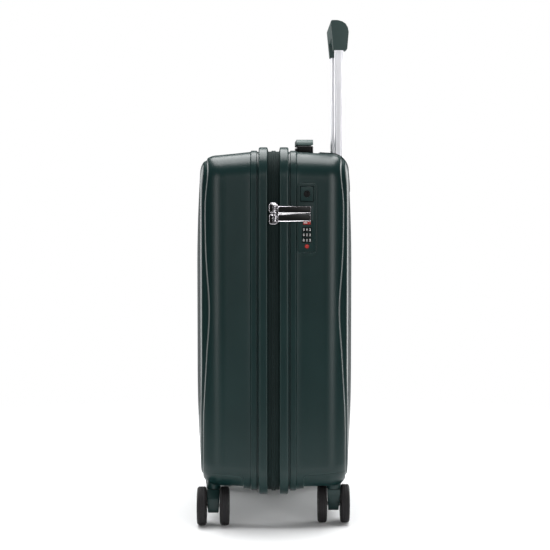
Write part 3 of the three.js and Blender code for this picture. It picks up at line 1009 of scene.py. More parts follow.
@dataclass
class HalfShell:
    """One moulded half of the case, with its two corner guards."""

    half: Half
    shop: Workshop
    gap: float = 0.3 * MM
    guard_x: float = 100 * MM
    guard_y: float = 43 * MM
    guard_top: float = 79 * MM
    underside: float = 58 * MM
    boss: float = 10 * MM
    bore: float = 5.4 * MM

    def __post_init__(self) -> None:
        """Set up the outer form and a coarser one for the inside."""
        self.form = CaseForm(self.half)
        self.inner = CaseForm(self.half, arc_steps=8, upright_steps=6, level_steps=5,
                              round_rows=8, face_rows=6)

    def guard_room(self, name: str, across: int, grow: float) -> bpy.types.Object:
        """The room of one corner guard, grown on all sides.

        Args:
            name: the object's name.
            across: -1 on the left, 1 on the right.
            grow: clearance all round.

        Returns:
            The room as a solid.
        """
        inner, top = self.guard_y - grow, self.guard_top + grow
        far, low, turn = 130 * MM, 30 * MM, 6 * MM
        side = self.half.value
        slope = [(inner, low), (far, low), (far, top + 2.5 * MM), (inner + 9 * MM, top - 3 * MM)]
        arc = [(inner + turn * (1 - math.sin(a)), top - 3 * MM - turn * (1 - math.cos(a)))
               for a in (i * math.pi / 16 for i in range(9))]
        outline = [(side * y, z) for y, z in slope + arc]
        start, end = across * (self.guard_x - grow), across * 200 * MM
        return prism(name, outline, "x", start, end)

    def corner_block(self) -> bpy.types.Object:
        """The lowest part of the outer form, hollow and with a flat underside, for the guards."""
        skin = self.form.loft("corners", 0.0, True, capped=True)
        top = 130 * MM
        combine(skin, "INTERSECT", [block("above", (-0.25, -0.25, self.underside),
                                          (0.25, 0.25, top))])
        inside = self.inner.loft("inside", self.form.wall, False, capped=True)
        low = (-0.25, -0.25, self.underside + self.form.wall)
        combine(inside, "INTERSECT", [block("above", low, (0.25, 0.25, top + 10 * MM))])
        return combine(skin, "DIFFERENCE", [inside])

    def cut_tools(self, tools: list[bpy.types.Object]) -> list[bpy.types.Object]:
        """Add the back half's own cuts: the handle well, the carry handle's legs and the lock."""
        if self.half is Half.FRONT:
            return tools
        tub_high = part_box("trolley_bezel")[1]
        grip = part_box("trolley_grip")[1].x + WELL_SIDE + self.gap
        tools.append(block("well", (-grip, WELL_FRONT - self.gap, WELL_BOTTOM - self.gap),
                           (grip, tub_high.y + 20 * MM, 570 * MM)))
        for mount in ("carry_mount_left", "carry_mount_right"):
            low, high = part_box(mount)
            middle = (low + high) / 2
            tools.append(block("leg_hole", (middle.x - 3.7 * MM, middle.y - 6.7 * MM, 500 * MM),
                               (middle.x + 3.7 * MM, middle.y + 6.7 * MM, 560 * MM)))
        low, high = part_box("lock_plate")
        step = self.gap
        outline = [(low.y - step, low.z - step), (high.y + step, low.z - step),
                   (high.y + step, high.z + step), (low.y - step, high.z + step)]
        tools.append(prism("lock_hole", outline, "x", 160 * MM, 200 * MM, rounding=9 * MM))
        return tools

    def make_shell(self) -> None:
        """Loft the skin, hollow it and cut its openings."""
        name = f"{self.half.word}_case_shell"
        shell = self.form.loft(name, 0.0, True, capped=True)
        hollow = self.inner.loft("hollow", self.form.wall, False, capped=True)
        grow = self.gap + self.form.wall
        hollow = combine(hollow, "DIFFERENCE",
                         [self.guard_room(f"pocket_{hand}", across, grow)
                          for hand, across in SIDES.items()])
        rooms = [self.guard_room(f"room_{hand}", across, self.gap) for hand, across in SIDES.items()]
        combine(shell, "DIFFERENCE", [hollow])
        combine(shell, "DIFFERENCE", self.cut_tools(rooms))
        smooth(shell)
        self.shop.place(shell, self.half.body, Finish.SHELL, [f"{self.half.word}_shell"])

    def make_guards(self) -> None:
        """Cut the corner guards from the skin, with a boss for each caster's stem."""
        corners = self.corner_block()
        for hand, across in SIDES.items():
            node = f"{self.half.word}_{hand}_corner_guard"
            guard = copied(f"{node}_moulding", corners, Vector())
            combine(guard, "INTERSECT", [self.guard_room("room", across, 0.0)])
            at = (across * STEM_X, self.half.value * STEM_Y, 0.0)
            combine(guard, "UNION", [rod("boss", "z", self.boss, 51.8 * MM, 78 * MM, at)])
            combine(guard, "DIFFERENCE", [rod("bore", "z", self.bore, 46 * MM, 74 * MM, at)])
            soften(guard, 0.5 * MM, 2)
            self.shop.place(guard, self.half.body, Finish.SHELL, [node])
        discard(corners)

    def build(self) -> None:
        """Make the shell and its guards."""
        self.make_shell()
        self.make_guards()


@dataclass
class Casters:
    """Four twin-wheel casters: forks with stems, axles, tyres and hubs."""

    shop: Workshop
    radius: float = 27.5 * MM
    half_width: float = 6.55 * MM
    bead: float = 20.6 * MM
    holes: int = 6

    def tyre(self) -> bpy.types.Object:
        """A tyre with round shoulders and two shallow tread grooves, at the origin."""
        r, w = self.radius, self.half_width
        half = [(self.bead, w - 1.1 * MM), (22.6 * MM, w - 0.2 * MM), (24.6 * MM, w),
                (26.6 * MM, w - 1.1 * MM), (r - 0.1 * MM, w - 3.1 * MM), (r, 2.3 * MM),
                (r - 0.5 * MM, 1.9 * MM), (r - 0.5 * MM, 1.5 * MM), (r, 1.1 * MM)]
        profile = [(a, b) for a, b in half] + [(a, -b) for a, b in reversed(half)]
        tyre = turned("tyre_pattern", profile, Vector(), steps=96)
        return soften(tyre, 0.35 * MM, 2, math.radians(16))

    def hub(self) -> bpy.types.Object:
        """A moulded hub with a raised rim, a boss and a ring of holes, at the origin."""
        half = [(3.1 * MM, 6.2 * MM), (6.4 * MM, 6.2 * MM), (7.4 * MM, 5.2 * MM), (8.0 * MM, 3.1 * MM),
                (16.4 * MM, 2.6 * MM), (18.0 * MM, 4.6 * MM), (self.bead - 0.05 * MM, 5.3 * MM)]
        profile = [(a, b) for a, b in half] + [(a, -b) for a, b in reversed(half)]
        hub = turned("hub_pattern", profile, Vector(), steps=72)
        cuts = []
        for i in range(self.holes):
            angle = i * 2 * math.pi / self.holes
            at = (12.3 * MM * math.cos(angle), 0.0, 12.3 * MM * math.sin(angle))
            cuts.append(rod("hole", "y", 2.6 * MM, -9 * MM, 9 * MM, at, 24))
        combine(hub, "DIFFERENCE", cuts)
        return soften(hub, 0.4 * MM, 2)

    def axle(self) -> bpy.types.Object:
        """A riveted steel pin with domed heads, at the origin."""
        reach, r = 21.5 * MM, 2.6 * MM
        half = [(0.0, reach), (1.1 * MM, reach - 0.1 * MM), (2.0 * MM, reach - 0.6 * MM),
                (r, reach - 1.5 * MM)]
        profile = half + [(a, -b) for a, b in reversed(half)]
        return smooth(turned("axle_pattern", profile, Vector(), steps=32, closed=False))

    def collar(self, name: str, at: Vector) -> bpy.types.Object:
        """A thin dust ring between the fork and the guard."""
        profile = [(5.6 * MM, 50.6 * MM), (9.0 * MM, 50.6 * MM), (9.4 * MM, 51.0 * MM),
                   (9.2 * MM, 51.5 * MM), (5.6 * MM, 51.6 * MM)]
        return smooth(turned(name, profile, at, "z", 48))

    def build(self) -> None:
        """Make the patterns once and set a copy of each down at every caster."""
        tyre, hub, axle = self.tyre(), self.hub(), self.axle()
        for half in Half:
            for hand in SIDES:
                stem = f"{half.word}_{hand}"
                low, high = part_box(f"{stem}_axle")
                body = f"{stem}_swivel"
                pin = copied(f"{stem}_axle_pin", axle, (low + high) / 2)
                self.shop.place(pin, body, Finish.STEEL, [f"{stem}_axle"])
                self.shop.rework(f"{stem}_fork_moulding", f"{stem}_fork", body, Finish.SHELL,
                                 1.3 * MM, 4)
                at = Vector((STEM_X * SIDES[hand], half.value * STEM_Y, 0))
                self.shop.place(self.collar(f"{stem}_dust_ring", at), body, Finish.BLACK)
                for wheel in "ab":
                    node = f"{stem}_wheel_{wheel}"
                    low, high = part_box(node)
                    middle = (low + high) / 2
                    self.shop.place(copied(f"{node}_tyre", tyre, middle), node, Finish.TYRE, [node])
                    self.shop.place(copied(f"{node}_hub", hub, middle), node, Finish.BLACK)
        for pattern in (tyre, hub, axle):
            discard(pattern)


def box_outline(width: float, depth: float, at: tuple[float, float] = (0.0, 0.0)
                ) -> list[tuple[float, float]]:
    """The corners of a rectangle about a point.

    Args:
        width: size on the first axis.
        depth: size on the second.
        at: its middle.

    Returns:
        The four corners in order.
    """
    a, b = at
    return [(a - width / 2, b - depth / 2), (a + width / 2, b - depth / 2),
            (a + width / 2, b + depth / 2), (a - width / 2, b + depth / 2)]


@dataclass
class Trolley:
    """The telescopic handle: tubes, bezel with its well, bracket, grip and button."""

    shop: Workshop
    wall: float = 1.0 * MM
    well_floor: float = 498 * MM
    proud: float = 2.4 * MM

    def tube(self, node: str, body: str) -> None:
        """Draw one tube with rounded corners, hollow, in place of its node."""
        low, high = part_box(node)
        middle = (low.x + high.x) / 2, (low.y + high.y) / 2
        width, depth = high.x - low.x, high.y - low.y
        piece = prism(f"{node}_drawn", box_outline(width, depth, middle), "z", low.z, high.z,
                      3.5 * MM, 8)
        inside = prism("inside", box_outline(width - 2 * self.wall, depth - 2 * self.wall, middle),
                       "z", low.z - 1 * MM, high.z + 1 * MM, 2.5 * MM, 8)
        combine(piece, "DIFFERENCE", [inside])
        self.shop.place(smooth(piece), body, Finish.TUBE, [node])

    def tubes(self) -> None:
        """All six tubes, and a bush at the mouth of each lower one."""
        stages = {"outer": "back_half", "middle": "trolley_middle_stage",
                  "inner": "trolley_inner_stage"}
        for stage, body in stages.items():
            for hand in SIDES:
                self.tube(f"{stage}_tube_{hand}", body)
        for hand in SIDES:
            low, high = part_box(f"middle_tube_{hand}")
            middle = (low.x + high.x) / 2, (low.y + high.y) / 2
            bush = prism(f"tube_bush_{hand}", box_outline(22.0 * MM, 14.4 * MM, middle), "z",
                         high.z, high.z + 0.7 * MM, 3.2 * MM, 8)
            bore = prism("bore", box_outline(20.5 * MM, 12.9 * MM, middle), "z", high.z - 1 * MM,
                         high.z + 3 * MM, 3.0 * MM, 8)
            combine(bush, "DIFFERENCE", [bore])
            self.shop.place(soften(bush, 0.2 * MM, 2), stages["middle"], Finish.BLACK)

    def bezel(self) -> None:
        """The plate over the corner of the case and the well below it."""
        low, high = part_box("trolley_bezel")
        form = CaseForm(Half.BACK, arc_steps=10, round_rows=26, face_rows=6,
                        upright_steps=8, level_steps=16)
        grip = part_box("trolley_grip")[1].x
        reach_outline = box_outline(2 * high.x, 240 * MM, (0.0, low.z + 120 * MM))
        cover = form.loft("trolley_bezel_cover", -self.proud, False, capped=True)
        combine(cover, "INTERSECT", [prism("reach", reach_outline, "y", low.y, 130 * MM, 22 * MM)])
        combine(cover, "DIFFERENCE", [form.loft("under", -0.3 * MM, False, capped=True)])
        tub = form.loft("tub", -self.proud, False, capped=True)
        side = grip + WELL_SIDE
        combine(tub, "INTERSECT", [block("well", (-side, WELL_FRONT, WELL_BOTTOM),
                                         (side, 125 * MM, 560 * MM))])
        combine(cover, "UNION", [tub])
        inner = grip + 0.7 * MM
        cavity = block("cavity", (-inner, 80.8 * MM, self.well_floor), (inner, 130 * MM, 570 * MM))
        combine(cover, "DIFFERENCE", [cavity])
        holes = []
        for hand in SIDES:
            low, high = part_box(f"middle_tube_{hand}")
            middle = (low.x + high.x) / 2, (low.y + high.y) / 2
            size = high.x - low.x + 0.6 * MM, high.y - low.y + 0.6 * MM
            holes.append(prism("hole", box_outline(*size, middle), "z", self.well_floor - 10 * MM,
                               self.well_floor + 10 * MM, 3.8 * MM, 8))
        combine(cover, "DIFFERENCE", holes)
        self.shop.place(soften(cover, 0.7 * MM, 3), "back_half", Finish.SHELL, ["trolley_bezel"])

    def grip(self) -> None:
        """The moulded grip and its push button, and the bracket at the foot of the tubes."""
        self.shop.rework("trolley_grip_moulding", "trolley_grip", "trolley_inner_stage",
                         Finish.HANDLE, 2.2 * MM, 5)
        self.shop.rework("trolley_push_button", "trolley_grip_button", "grip_button",
                         Finish.BLACK, 1.0 * MM, 4)
        self.shop.rework("tube_foot_bracket", "trolley_bracket", "back_half",
                         Finish.BLACK, 1.5 * MM, 3)

    def build(self) -> None:
        """Make the whole telescopic handle."""
        self.tubes()
        self.bezel()
        self.grip()


@dataclass
class CarryHandle:
    """The low handle on the top side, on its two sunk mounts."""

    shop: Workshop

    def build(self) -> None:
        """Round off the bar and its mounts."""
        self.shop.rework("carry_handle_grip", "carry_handle", "carry_handle", Finish.HANDLE,
                         1.6 * MM, 5)
        for hand in SIDES:
            node = f"carry_mount_{hand}"
            self.shop.rework(f"{node}_moulding", node, "back_half", Finish.BLACK, 0.9 * MM, 4)


def ring(name: str, form: CaseForm, profile: Sequence[tuple[float, float]]) -> bpy.types.Object:
    """Sweep a closed profile of (depth, inset) points round the case outline.

    Args:
        name: the object's name.
        form: the outline's form, which also says on which side of the zip it lies.
        profile: the section's corners.

    Returns:
        The closed ring.
    """
    stations = form.stations()

    def build(bm: bmesh.types.BMesh) -> None:
        """Bridge one loop for each corner of the section."""
        loops = []
        for depth, inset in profile:
            verts = bmesh.ops.create_circle(bm, segments=len(stations), radius=1)["verts"]
            for vert, at in zip(verts, stations):
                x, z = form.point(at, inset)
                vert.co = (x, form.half.value * depth, z)
            loops.append(list({e for v in verts for e in v.link_edges}))
        for first, second in zip(loops, loops[1:] + loops[:1]):
            bmesh.ops.bridge_loops(bm, edges=first + second)
    return built(name, build)


@dataclass
class Zip:
    """Tapes, coil teeth, hinge cloth, two sliders and their pulls."""

    shop: Workshop
    pitch: float = 2.4 * MM
    tape_inset: float = 5.0 * MM
    tape_width: float = 10.5 * MM
    hinge_low: float = 110 * MM
    hinge_high: float = 480 * MM
    pin: tuple[float, float] = (190.8 * MM, 2.0 * MM)
    tilt: float = 5.6

    def path(self, form: CaseForm, inset: float) -> list[tuple[Vector, Vector]]:
        """Places and directions at even steps along the rim.

        Args:
            form: the outline's form.
            inset: how far inside the outline.

        Returns:
            Pairs of a place and a direction, as (x, z).
        """
        line = [Vector(form.point(at, inset)) for at in form.stations()]
        line.append(line[0])
        made, travelled, due = [], 0.0, 0.0
        for a, b in zip(line, line[1:]):
            step = (b - a).length
            while step > 0 and due <= travelled + step:
                made.append((a.lerp(b, (due - travelled) / step), (b - a).normalized()))
                due += self.pitch
            travelled += step
        return made

    def on_hinge(self, x: float, z: float) -> bool:
        """Whether a place is on the stretch where cloth joins the halves instead of teeth."""
        return x < 0 and self.hinge_low - 2 * MM < z < self.hinge_high + 2 * MM

    def teeth(self, half: Half) -> None:
        """A row of coil teeth behind one tape, half a pitch off the other row, so that they mesh."""
        form = CaseForm(half, arc_steps=14, upright_steps=4, level_steps=4)
        side = half.value

        def build(bm: bmesh.types.BMesh) -> None:
            """Add a bevelled block for each tooth."""
            for place, along in self.path(form, self.tape_inset + 2.3 * MM):
                if self.on_hinge(place.x, place.y):
                    continue
                shift = place + along * self.pitch * 0.25 * side
                turn = Matrix.Rotation(-math.atan2(along.y, along.x), 4, "Y")
                spot = Matrix.Translation((shift.x, side * 0.9 * MM, shift.y))
                size = Matrix.Diagonal((0.95 * MM, 3.4 * MM, 1.2 * MM, 1))
                bmesh.ops.create_cube(bm, size=1, matrix=spot @ turn @ size)
            bmesh.ops.bevel(bm, geom=list(bm.edges), offset=0.28 * MM, offset_type="OFFSET",
                            segments=1, profile=0.5, affect="EDGES", material=-1)
        row = smooth(built(f"{half.word}_zip_teeth", build), math.radians(60))
        self.shop.place(row, half.body, Finish.BLACK)

    def tape(self, half: Half) -> None:
        """One woven tape along the rim, folded over the coil at its free edge."""
        form = CaseForm(half, arc_steps=14, upright_steps=30, level_steps=22)
        face = self.tape_inset
        section = ((0.06, 1.7), (0.06, 0.2), (0.15, -0.05), (0.45, -0.2), (2.4, -0.2), (2.75, -0.05),
                   (2.95, 0.3), (3.0, 0.85), (3.4, 0.95), (8.3, 1.0), (8.3, 1.7))
        profile = [(depth * MM, face + inset * MM) for depth, inset in section]
        name = f"{half.word}_zip_tape_cloth"
        piece = ring(name, form, profile)
        gap = block("gap", (-200 * MM, -20 * MM, self.hinge_low - 0.3 * MM),
                    (-150 * MM, 20 * MM, self.hinge_high + 0.3 * MM))
        combine(piece, "DIFFERENCE", [gap])
        smooth(piece)
        self.shop.place(piece, half.body, Finish.TAPE, [f"{half.word}_zip_tape"])
        upright, level, corner = 484 * MM, 365 * MM, 37 * MM
        length = 2 * (upright + level) - (8 - 2 * math.pi) * corner
        length -= self.hinge_high - self.hinge_low

    def hinge(self) -> None:
        """The cloth hinge: a ribbed strip between the halves."""
        x0 = -182.5 * MM
        rows = [-8.0, -6.8, -5.6, -4.4, -3.2, -2.2, -1.2, -0.4, 0.4, 1.2, 2.2, 3.2, 4.4, 5.6, 6.8, 8.0]

        def build(bm: bmesh.types.BMesh) -> None:
            """Bend a grid into ribs and give it thickness."""
            height = self.hinge_high - self.hinge_low
            steps = 74
            grid = bmesh.ops.create_grid(bm, x_segments=len(rows) - 1, y_segments=steps, size=0.5)
            for vert in grid["verts"]:
                across = rows[round((vert.co.x + 0.5) * (len(rows) - 1))]
                up = self.hinge_low + (vert.co.y + 0.5) * height
                ridge = 0.25 * MM * math.cos(across * math.pi / 1.6)
                vert.co = (x0 + 0.9 * MM - ridge, across * MM, up)
            bmesh.ops.solidify(bm, geom=list(bm.faces), thickness=1.2 * MM)
        strip = smooth(built("hinge_cloth", build))
        self.shop.place(strip, None, Finish.TAPE, ["hinge_strip"])
        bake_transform(strip)

    def slider(self, name: str) -> None:
        """A plated slider with a black enamel inlay on its back."""
        node = f"{name}_zip_slider"
        low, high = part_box(node)
        face = self.pin[0] - 3.4 * MM
        middle, pull = (low.z + high.z) / 2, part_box(f"{name}_zip_pull")
        pin_z = (pull[0].z + pull[1].z) / 2
        wide = high.y - low.y
        outline = box_outline(wide, high.z - low.z, ((low.y + high.y) / 2, middle))
        body = prism(f"{node}_body", outline, "x", low.x, face, 4.2 * MM, 8)
        soften(body, 1.1 * MM, 4)
        parts = []
        for side in (-4.9 * MM, 3.4 * MM):
            parts.append(block("cheek", (face - 1.4 * MM, self.pin[1] - 2.8 * MM, pin_z + side),
                               (self.pin[0], self.pin[1] + 2.8 * MM, pin_z + side + 1.5 * MM)))
            parts.append(rod("ear", "z", 2.8 * MM, pin_z + side, pin_z + side + 1.5 * MM,
                             (*self.pin, 0), 32))
        parts.append(rod("pin", "z", 1.2 * MM, pin_z - 4 * MM, pin_z + 4 * MM, (*self.pin, 0), 24))
        combine(body, "UNION", parts)
        self.shop.place(soften(body, 0.3 * MM, 2), f"{name}_slider", Finish.CHROME, [node])
        inlay = prism(f"{node}_inlay", box_outline(4.2 * MM, 11.0 * MM, (-3.4 * MM, middle)), "x",
                      face - 0.6 * MM, face + 0.15 * MM, 1.6 * MM)
        self.shop.place(soften(inlay, 0.12 * MM, 2), f"{name}_slider", Finish.BLACK)

    def pull(self, name: str) -> None:
        """A plated pull: a rounded frame round a recessed black inlay, swung on its pin."""
        node = f"{name}_zip_pull"
        low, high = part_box(node)
        middle = (low.z + high.z) / 2
        width, length, thick = high.z - low.z, 50 * MM, 2.2 * MM
        near, far = 4.1 * MM, length
        middle_y, long = (near + far) / 2, far - near

        def plank(label: str, margin: float, low_x: float, high_x: float, turn: float
                  ) -> bpy.types.Object:
            """A flat slab of the pull's outline, less a margin."""
            outline = box_outline(long - 2 * margin, width - 2 * margin, (middle_y, 0.0))
            return prism(label, outline, "z", low_x, high_x, turn)

        slab = plank(f"{node}_frame", 0.0, -thick / 2, thick / 2, 1.3 * MM)
        combine(slab, "DIFFERENCE", [plank("window", 0.75 * MM, 0.35 * MM, thick, 0.7 * MM),
                                     plank("under", 0.75 * MM, -thick, -0.35 * MM, 0.7 * MM)])
        neck = block("neck", (1.5 * MM, -3 * MM, -thick / 2), (near + 0.3 * MM, 3 * MM, thick / 2))
        eye = rod("eye", "y", 2.8 * MM, -3 * MM, 3 * MM, (0, 0, 0), 32)
        combine(slab, "UNION", [neck, eye])
        combine(slab, "DIFFERENCE", [rod("bore", "y", 1.6 * MM, -5 * MM, 5 * MM, (0, 0, 0), 24)])
        soften(slab, 0.25 * MM, 3)
        inlay = soften(plank(f"{node}_inlay", 0.78 * MM, -0.9 * MM, 0.9 * MM, 0.7 * MM),
                       0.12 * MM, 2)
        # Along the slab's x comes +Y, its y comes +Z and its z comes +X.
        lay = Matrix(((0, 0, 1, 0), (1, 0, 0, 0), (0, 1, 0, 0), (0, 0, 0, 1)))
        swing = Matrix.Rotation(math.radians(self.tilt), 4, "Z")
        spot = Matrix.Translation((*self.pin, middle))
        for piece in (slab, inlay):
            piece.data.transform(spot @ swing @ lay)
        self.shop.place(slab, f"{name}_pull", Finish.CHROME, [node])
        self.shop.place(inlay, f"{name}_pull", Finish.BLACK)

    def build(self) -> None:
        """Make the zip."""
        for half in Half:
            self.tape(half)
            self.teeth(half)
        self.hinge()
        for name in ("upper", "lower"):
            self.slider(name)
            self.pull(name)


@dataclass
class Lock:
    """The flush combination lock: plate, button, key cylinder, dials, indicator and case."""

    shop: Workshop
    face: float = 181.2 * MM
    dial_radius: float = 7.5 * MM
    notches: int = 20
    digit_height: float = 3.7 * MM

    def plate(self) -> None:
        """The face plate with its windows, a raised bead round it and the pulls' rest."""
        low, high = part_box("lock_plate")
        centre = (low.y + high.y) / 2, (low.z + high.z) / 2
        wide, tall = high.y - low.y, high.z - low.z
        piece = prism("lock_face_plate", box_outline(wide, tall, centre), "x", low.x, self.face,
                      5.0 * MM, 8)
        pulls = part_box("lower_zip_pull")[0].z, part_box("upper_zip_pull")[1].z
        rest = prism("rest", box_outline(12 * MM, pulls[1] - pulls[0] - 2 * MM,
                                         (centre[0] + 3 * MM, sum(pulls) / 2)), "x", low.x,
                     high.x, 1.5 * MM, 4)
        combine(piece, "UNION", [rest])
        soften(piece, 0.6 * MM, 3)
        cuts = []
        for node, grow in (("dial_1", 0.4), ("dial_2", 0.4), ("dial_3", 0.4),
                           ("lock_indicator", 0.4), ("lock_button", 0.8)):
            a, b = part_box(node)
            across = 13.2 * MM if "dial" in node else b.y - a.y + 2 * grow * MM
            outline = box_outline(across, b.z - a.z + 2 * grow * MM,
                                  ((a.y + b.y) / 2, (a.z + b.z) / 2))
            turn = 2.6 * MM if node == "lock_button" else 0.5 * MM
            cuts.append(prism("window", outline, "x", 150 * MM, 190 * MM, turn, 5))
        a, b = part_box("reset_pin")
        cuts.append(rod("pin_hole", "x", 3.3 * MM, 150 * MM, 190 * MM, (a + b) / 2, 32))
        combine(piece, "DIFFERENCE", cuts)
        self.shop.place(smooth(piece), "back_half", Finish.SHELL, ["lock_plate"])
        rim = prism("lock_plate_bead", box_outline(wide - 1.6 * MM, tall - 1.6 * MM, centre), "x",
                    self.face - 0.3 * MM, self.face + 0.8 * MM, 4.4 * MM, 8)
        inner = prism("inner", box_outline(wide - 4.0 * MM, tall - 4.0 * MM, centre), "x",
                      self.face - 1 * MM, self.face + 1 * MM, 3.4 * MM, 8)
        combine(rim, "DIFFERENCE", [inner])
        self.shop.place(soften(rim, 0.35 * MM, 3), "back_half", Finish.SHELL)
        case = smooth(reworked("lock_inner_case", "lock_case"))
        self.shop.place(case, "back_half", Finish.BLACK, ["lock_case"])

    def button(self) -> None:
        """The square release button and the key cylinder with its slot."""
        low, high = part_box("lock_button")
        outline = box_outline(high.y - low.y, high.z - low.z,
                              ((low.y + high.y) / 2, (low.z + high.z) / 2))
        piece = soften(prism("lock_release_button", outline, "x", low.x, high.x, 2.4 * MM, 6),
                       0.8 * MM, 4)
        low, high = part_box("key_cylinder")
        centre = (low + high) / 2
        combine(piece, "DIFFERENCE", [rod("bore", "x", 4.8 * MM, 150 * MM, 190 * MM, centre, 40)])
        self.shop.place(smooth(piece), "lock_button", Finish.SHELL, ["lock_button"])
        core = rod("key_core", "x", 4.4 * MM, low.x, high.x, centre, 48)
        slot = block("slot", (high.x - 2 * MM, centre.y - 0.6 * MM, centre.z - 2.7 * MM),
                     (high.x + 1 * MM, centre.y + 0.6 * MM, centre.z + 1.4 * MM))
        bow = rod("bow", "x", 1.25 * MM, high.x - 2 * MM, high.x + 1 * MM,
                  (0, centre.y, centre.z + 1.2 * MM), 24)
        combine(core, "DIFFERENCE", [slot, bow])
        self.shop.place(soften(core, 0.25 * MM, 2), "key_cylinder", Finish.BLACK, ["key_cylinder"])

    def digits(self, dial: str, centre: Vector) -> None:
        """Ten raised digits wrapped round one dial, the third of each in line with the window."""
        joined = bmesh.new()
        for number in range(10):
            curve = bpy.data.curves.new("digit", "FONT")
            curve.body = str(number)
            curve.align_x, curve.align_y = "CENTER", "CENTER"
            curve.size = self.digit_height * 1.32
            curve.offset = 0.00016
            curve.extrude = 0.05 * MM
            holder = bpy.data.objects.new("digit", curve)
            bpy.context.scene.collection.objects.link(holder)
            graph = bpy.context.evaluated_depsgraph_get()
            mesh = bpy.data.meshes.new_from_object(holder.evaluated_get(graph))
            bpy.data.objects.remove(holder)
            bpy.data.curves.remove(curve)
            bm = bmesh.new()
            bm.from_mesh(mesh)
            bmesh.ops.triangulate(bm, faces=bm.faces)
            long_edges = [e for e in bm.edges if e.calc_length() > 0.7 * MM]
            bmesh.ops.subdivide_edges(bm, edges=long_edges, cuts=1)
            turn = (number - 1) * math.pi / 5
            for vert in bm.verts:
                angle = turn + vert.co.x / self.dial_radius
                reach = self.dial_radius + 0.06 * MM + vert.co.z
                vert.co = (centre.x + reach * math.cos(angle), centre.y + reach * math.sin(angle),
                           centre.z + vert.co.y)
            bm.to_mesh(mesh)
            bm.free()
            joined.from_mesh(mesh)
            bpy.data.meshes.remove(mesh)
        piece = mesh_object(f"{dial}_digits", joined)
        self.shop.place(piece, dial, Finish.DIGITS)

    def dials(self) -> None:
        """Three knurled dials that turn on an upright axis."""
        for i in (1, 2, 3):
            node = f"dial_{i}"
            low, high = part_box(node)
            centre = (low + high) / 2
            half = (high.z - low.z) / 2
            r = self.dial_radius
            profile = [(2.0 * MM, -half), (r - 0.9 * MM, -half), (r - 0.1 * MM, -half + 0.6 * MM),
                       (r - 0.1 * MM, half - 0.6 * MM), (r - 0.9 * MM, half), (2.0 * MM, half)]
            wheel = turned(f"{node}_wheel", profile, centre, "z", 80)
            cuts = []
            for k in range(self.notches):
                angle = (k + 0.5) * 2 * math.pi / self.notches
                for level in (-1, 1):
                    at = (centre.x + r * math.cos(angle), centre.y + r * math.sin(angle), 0.0)
                    z = centre.z + level * half
                    cuts.append(rod("notch", "z", 0.45 * MM, z - 0.5 * MM, z + 0.5 * MM, at, 10))
            self.shop.place(self.notched(wheel, cuts), node, Finish.BLACK, [node])
            self.digits(node, centre)

    def notched(self, wheel: bpy.types.Object, cuts: list[bpy.types.Object]) -> bpy.types.Object:
        """Join the cutters to one solid and cut a dial with it."""
        tool = bmesh.new()
        for cut in cuts:
            tool.from_mesh(cut.data)
            discard(cut)
        combine(wheel, "DIFFERENCE", [mesh_object("notches", tool)])
        return smooth(wheel)

    def marks(self) -> None:
        """The red lock-state indicator with its white stripe, and the reset pin."""
        self.shop.rework("lock_state_flag", "lock_indicator", "back_half", Finish.RED,
                         0.3 * MM, 2)
        low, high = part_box("lock_indicator")
        stripe = block("lock_state_stripe", (high.x - 0.3 * MM, low.y + 0.8 * MM, low.z + 1.5 * MM),
                       (high.x + 0.1 * MM, high.y - 4.6 * MM, high.z - 1.5 * MM))
        self.shop.place(soften(stripe, 0.05 * MM, 2), "back_half", Finish.DIGITS)
        self.shop.rework("lock_reset_pin", "reset_pin", "back_half", Finish.RED, 0.5 * MM, 3)

    def build(self) -> None:
        """Make the lock."""
        self.plate()
        self.button()
        self.dials()
        self.marks()


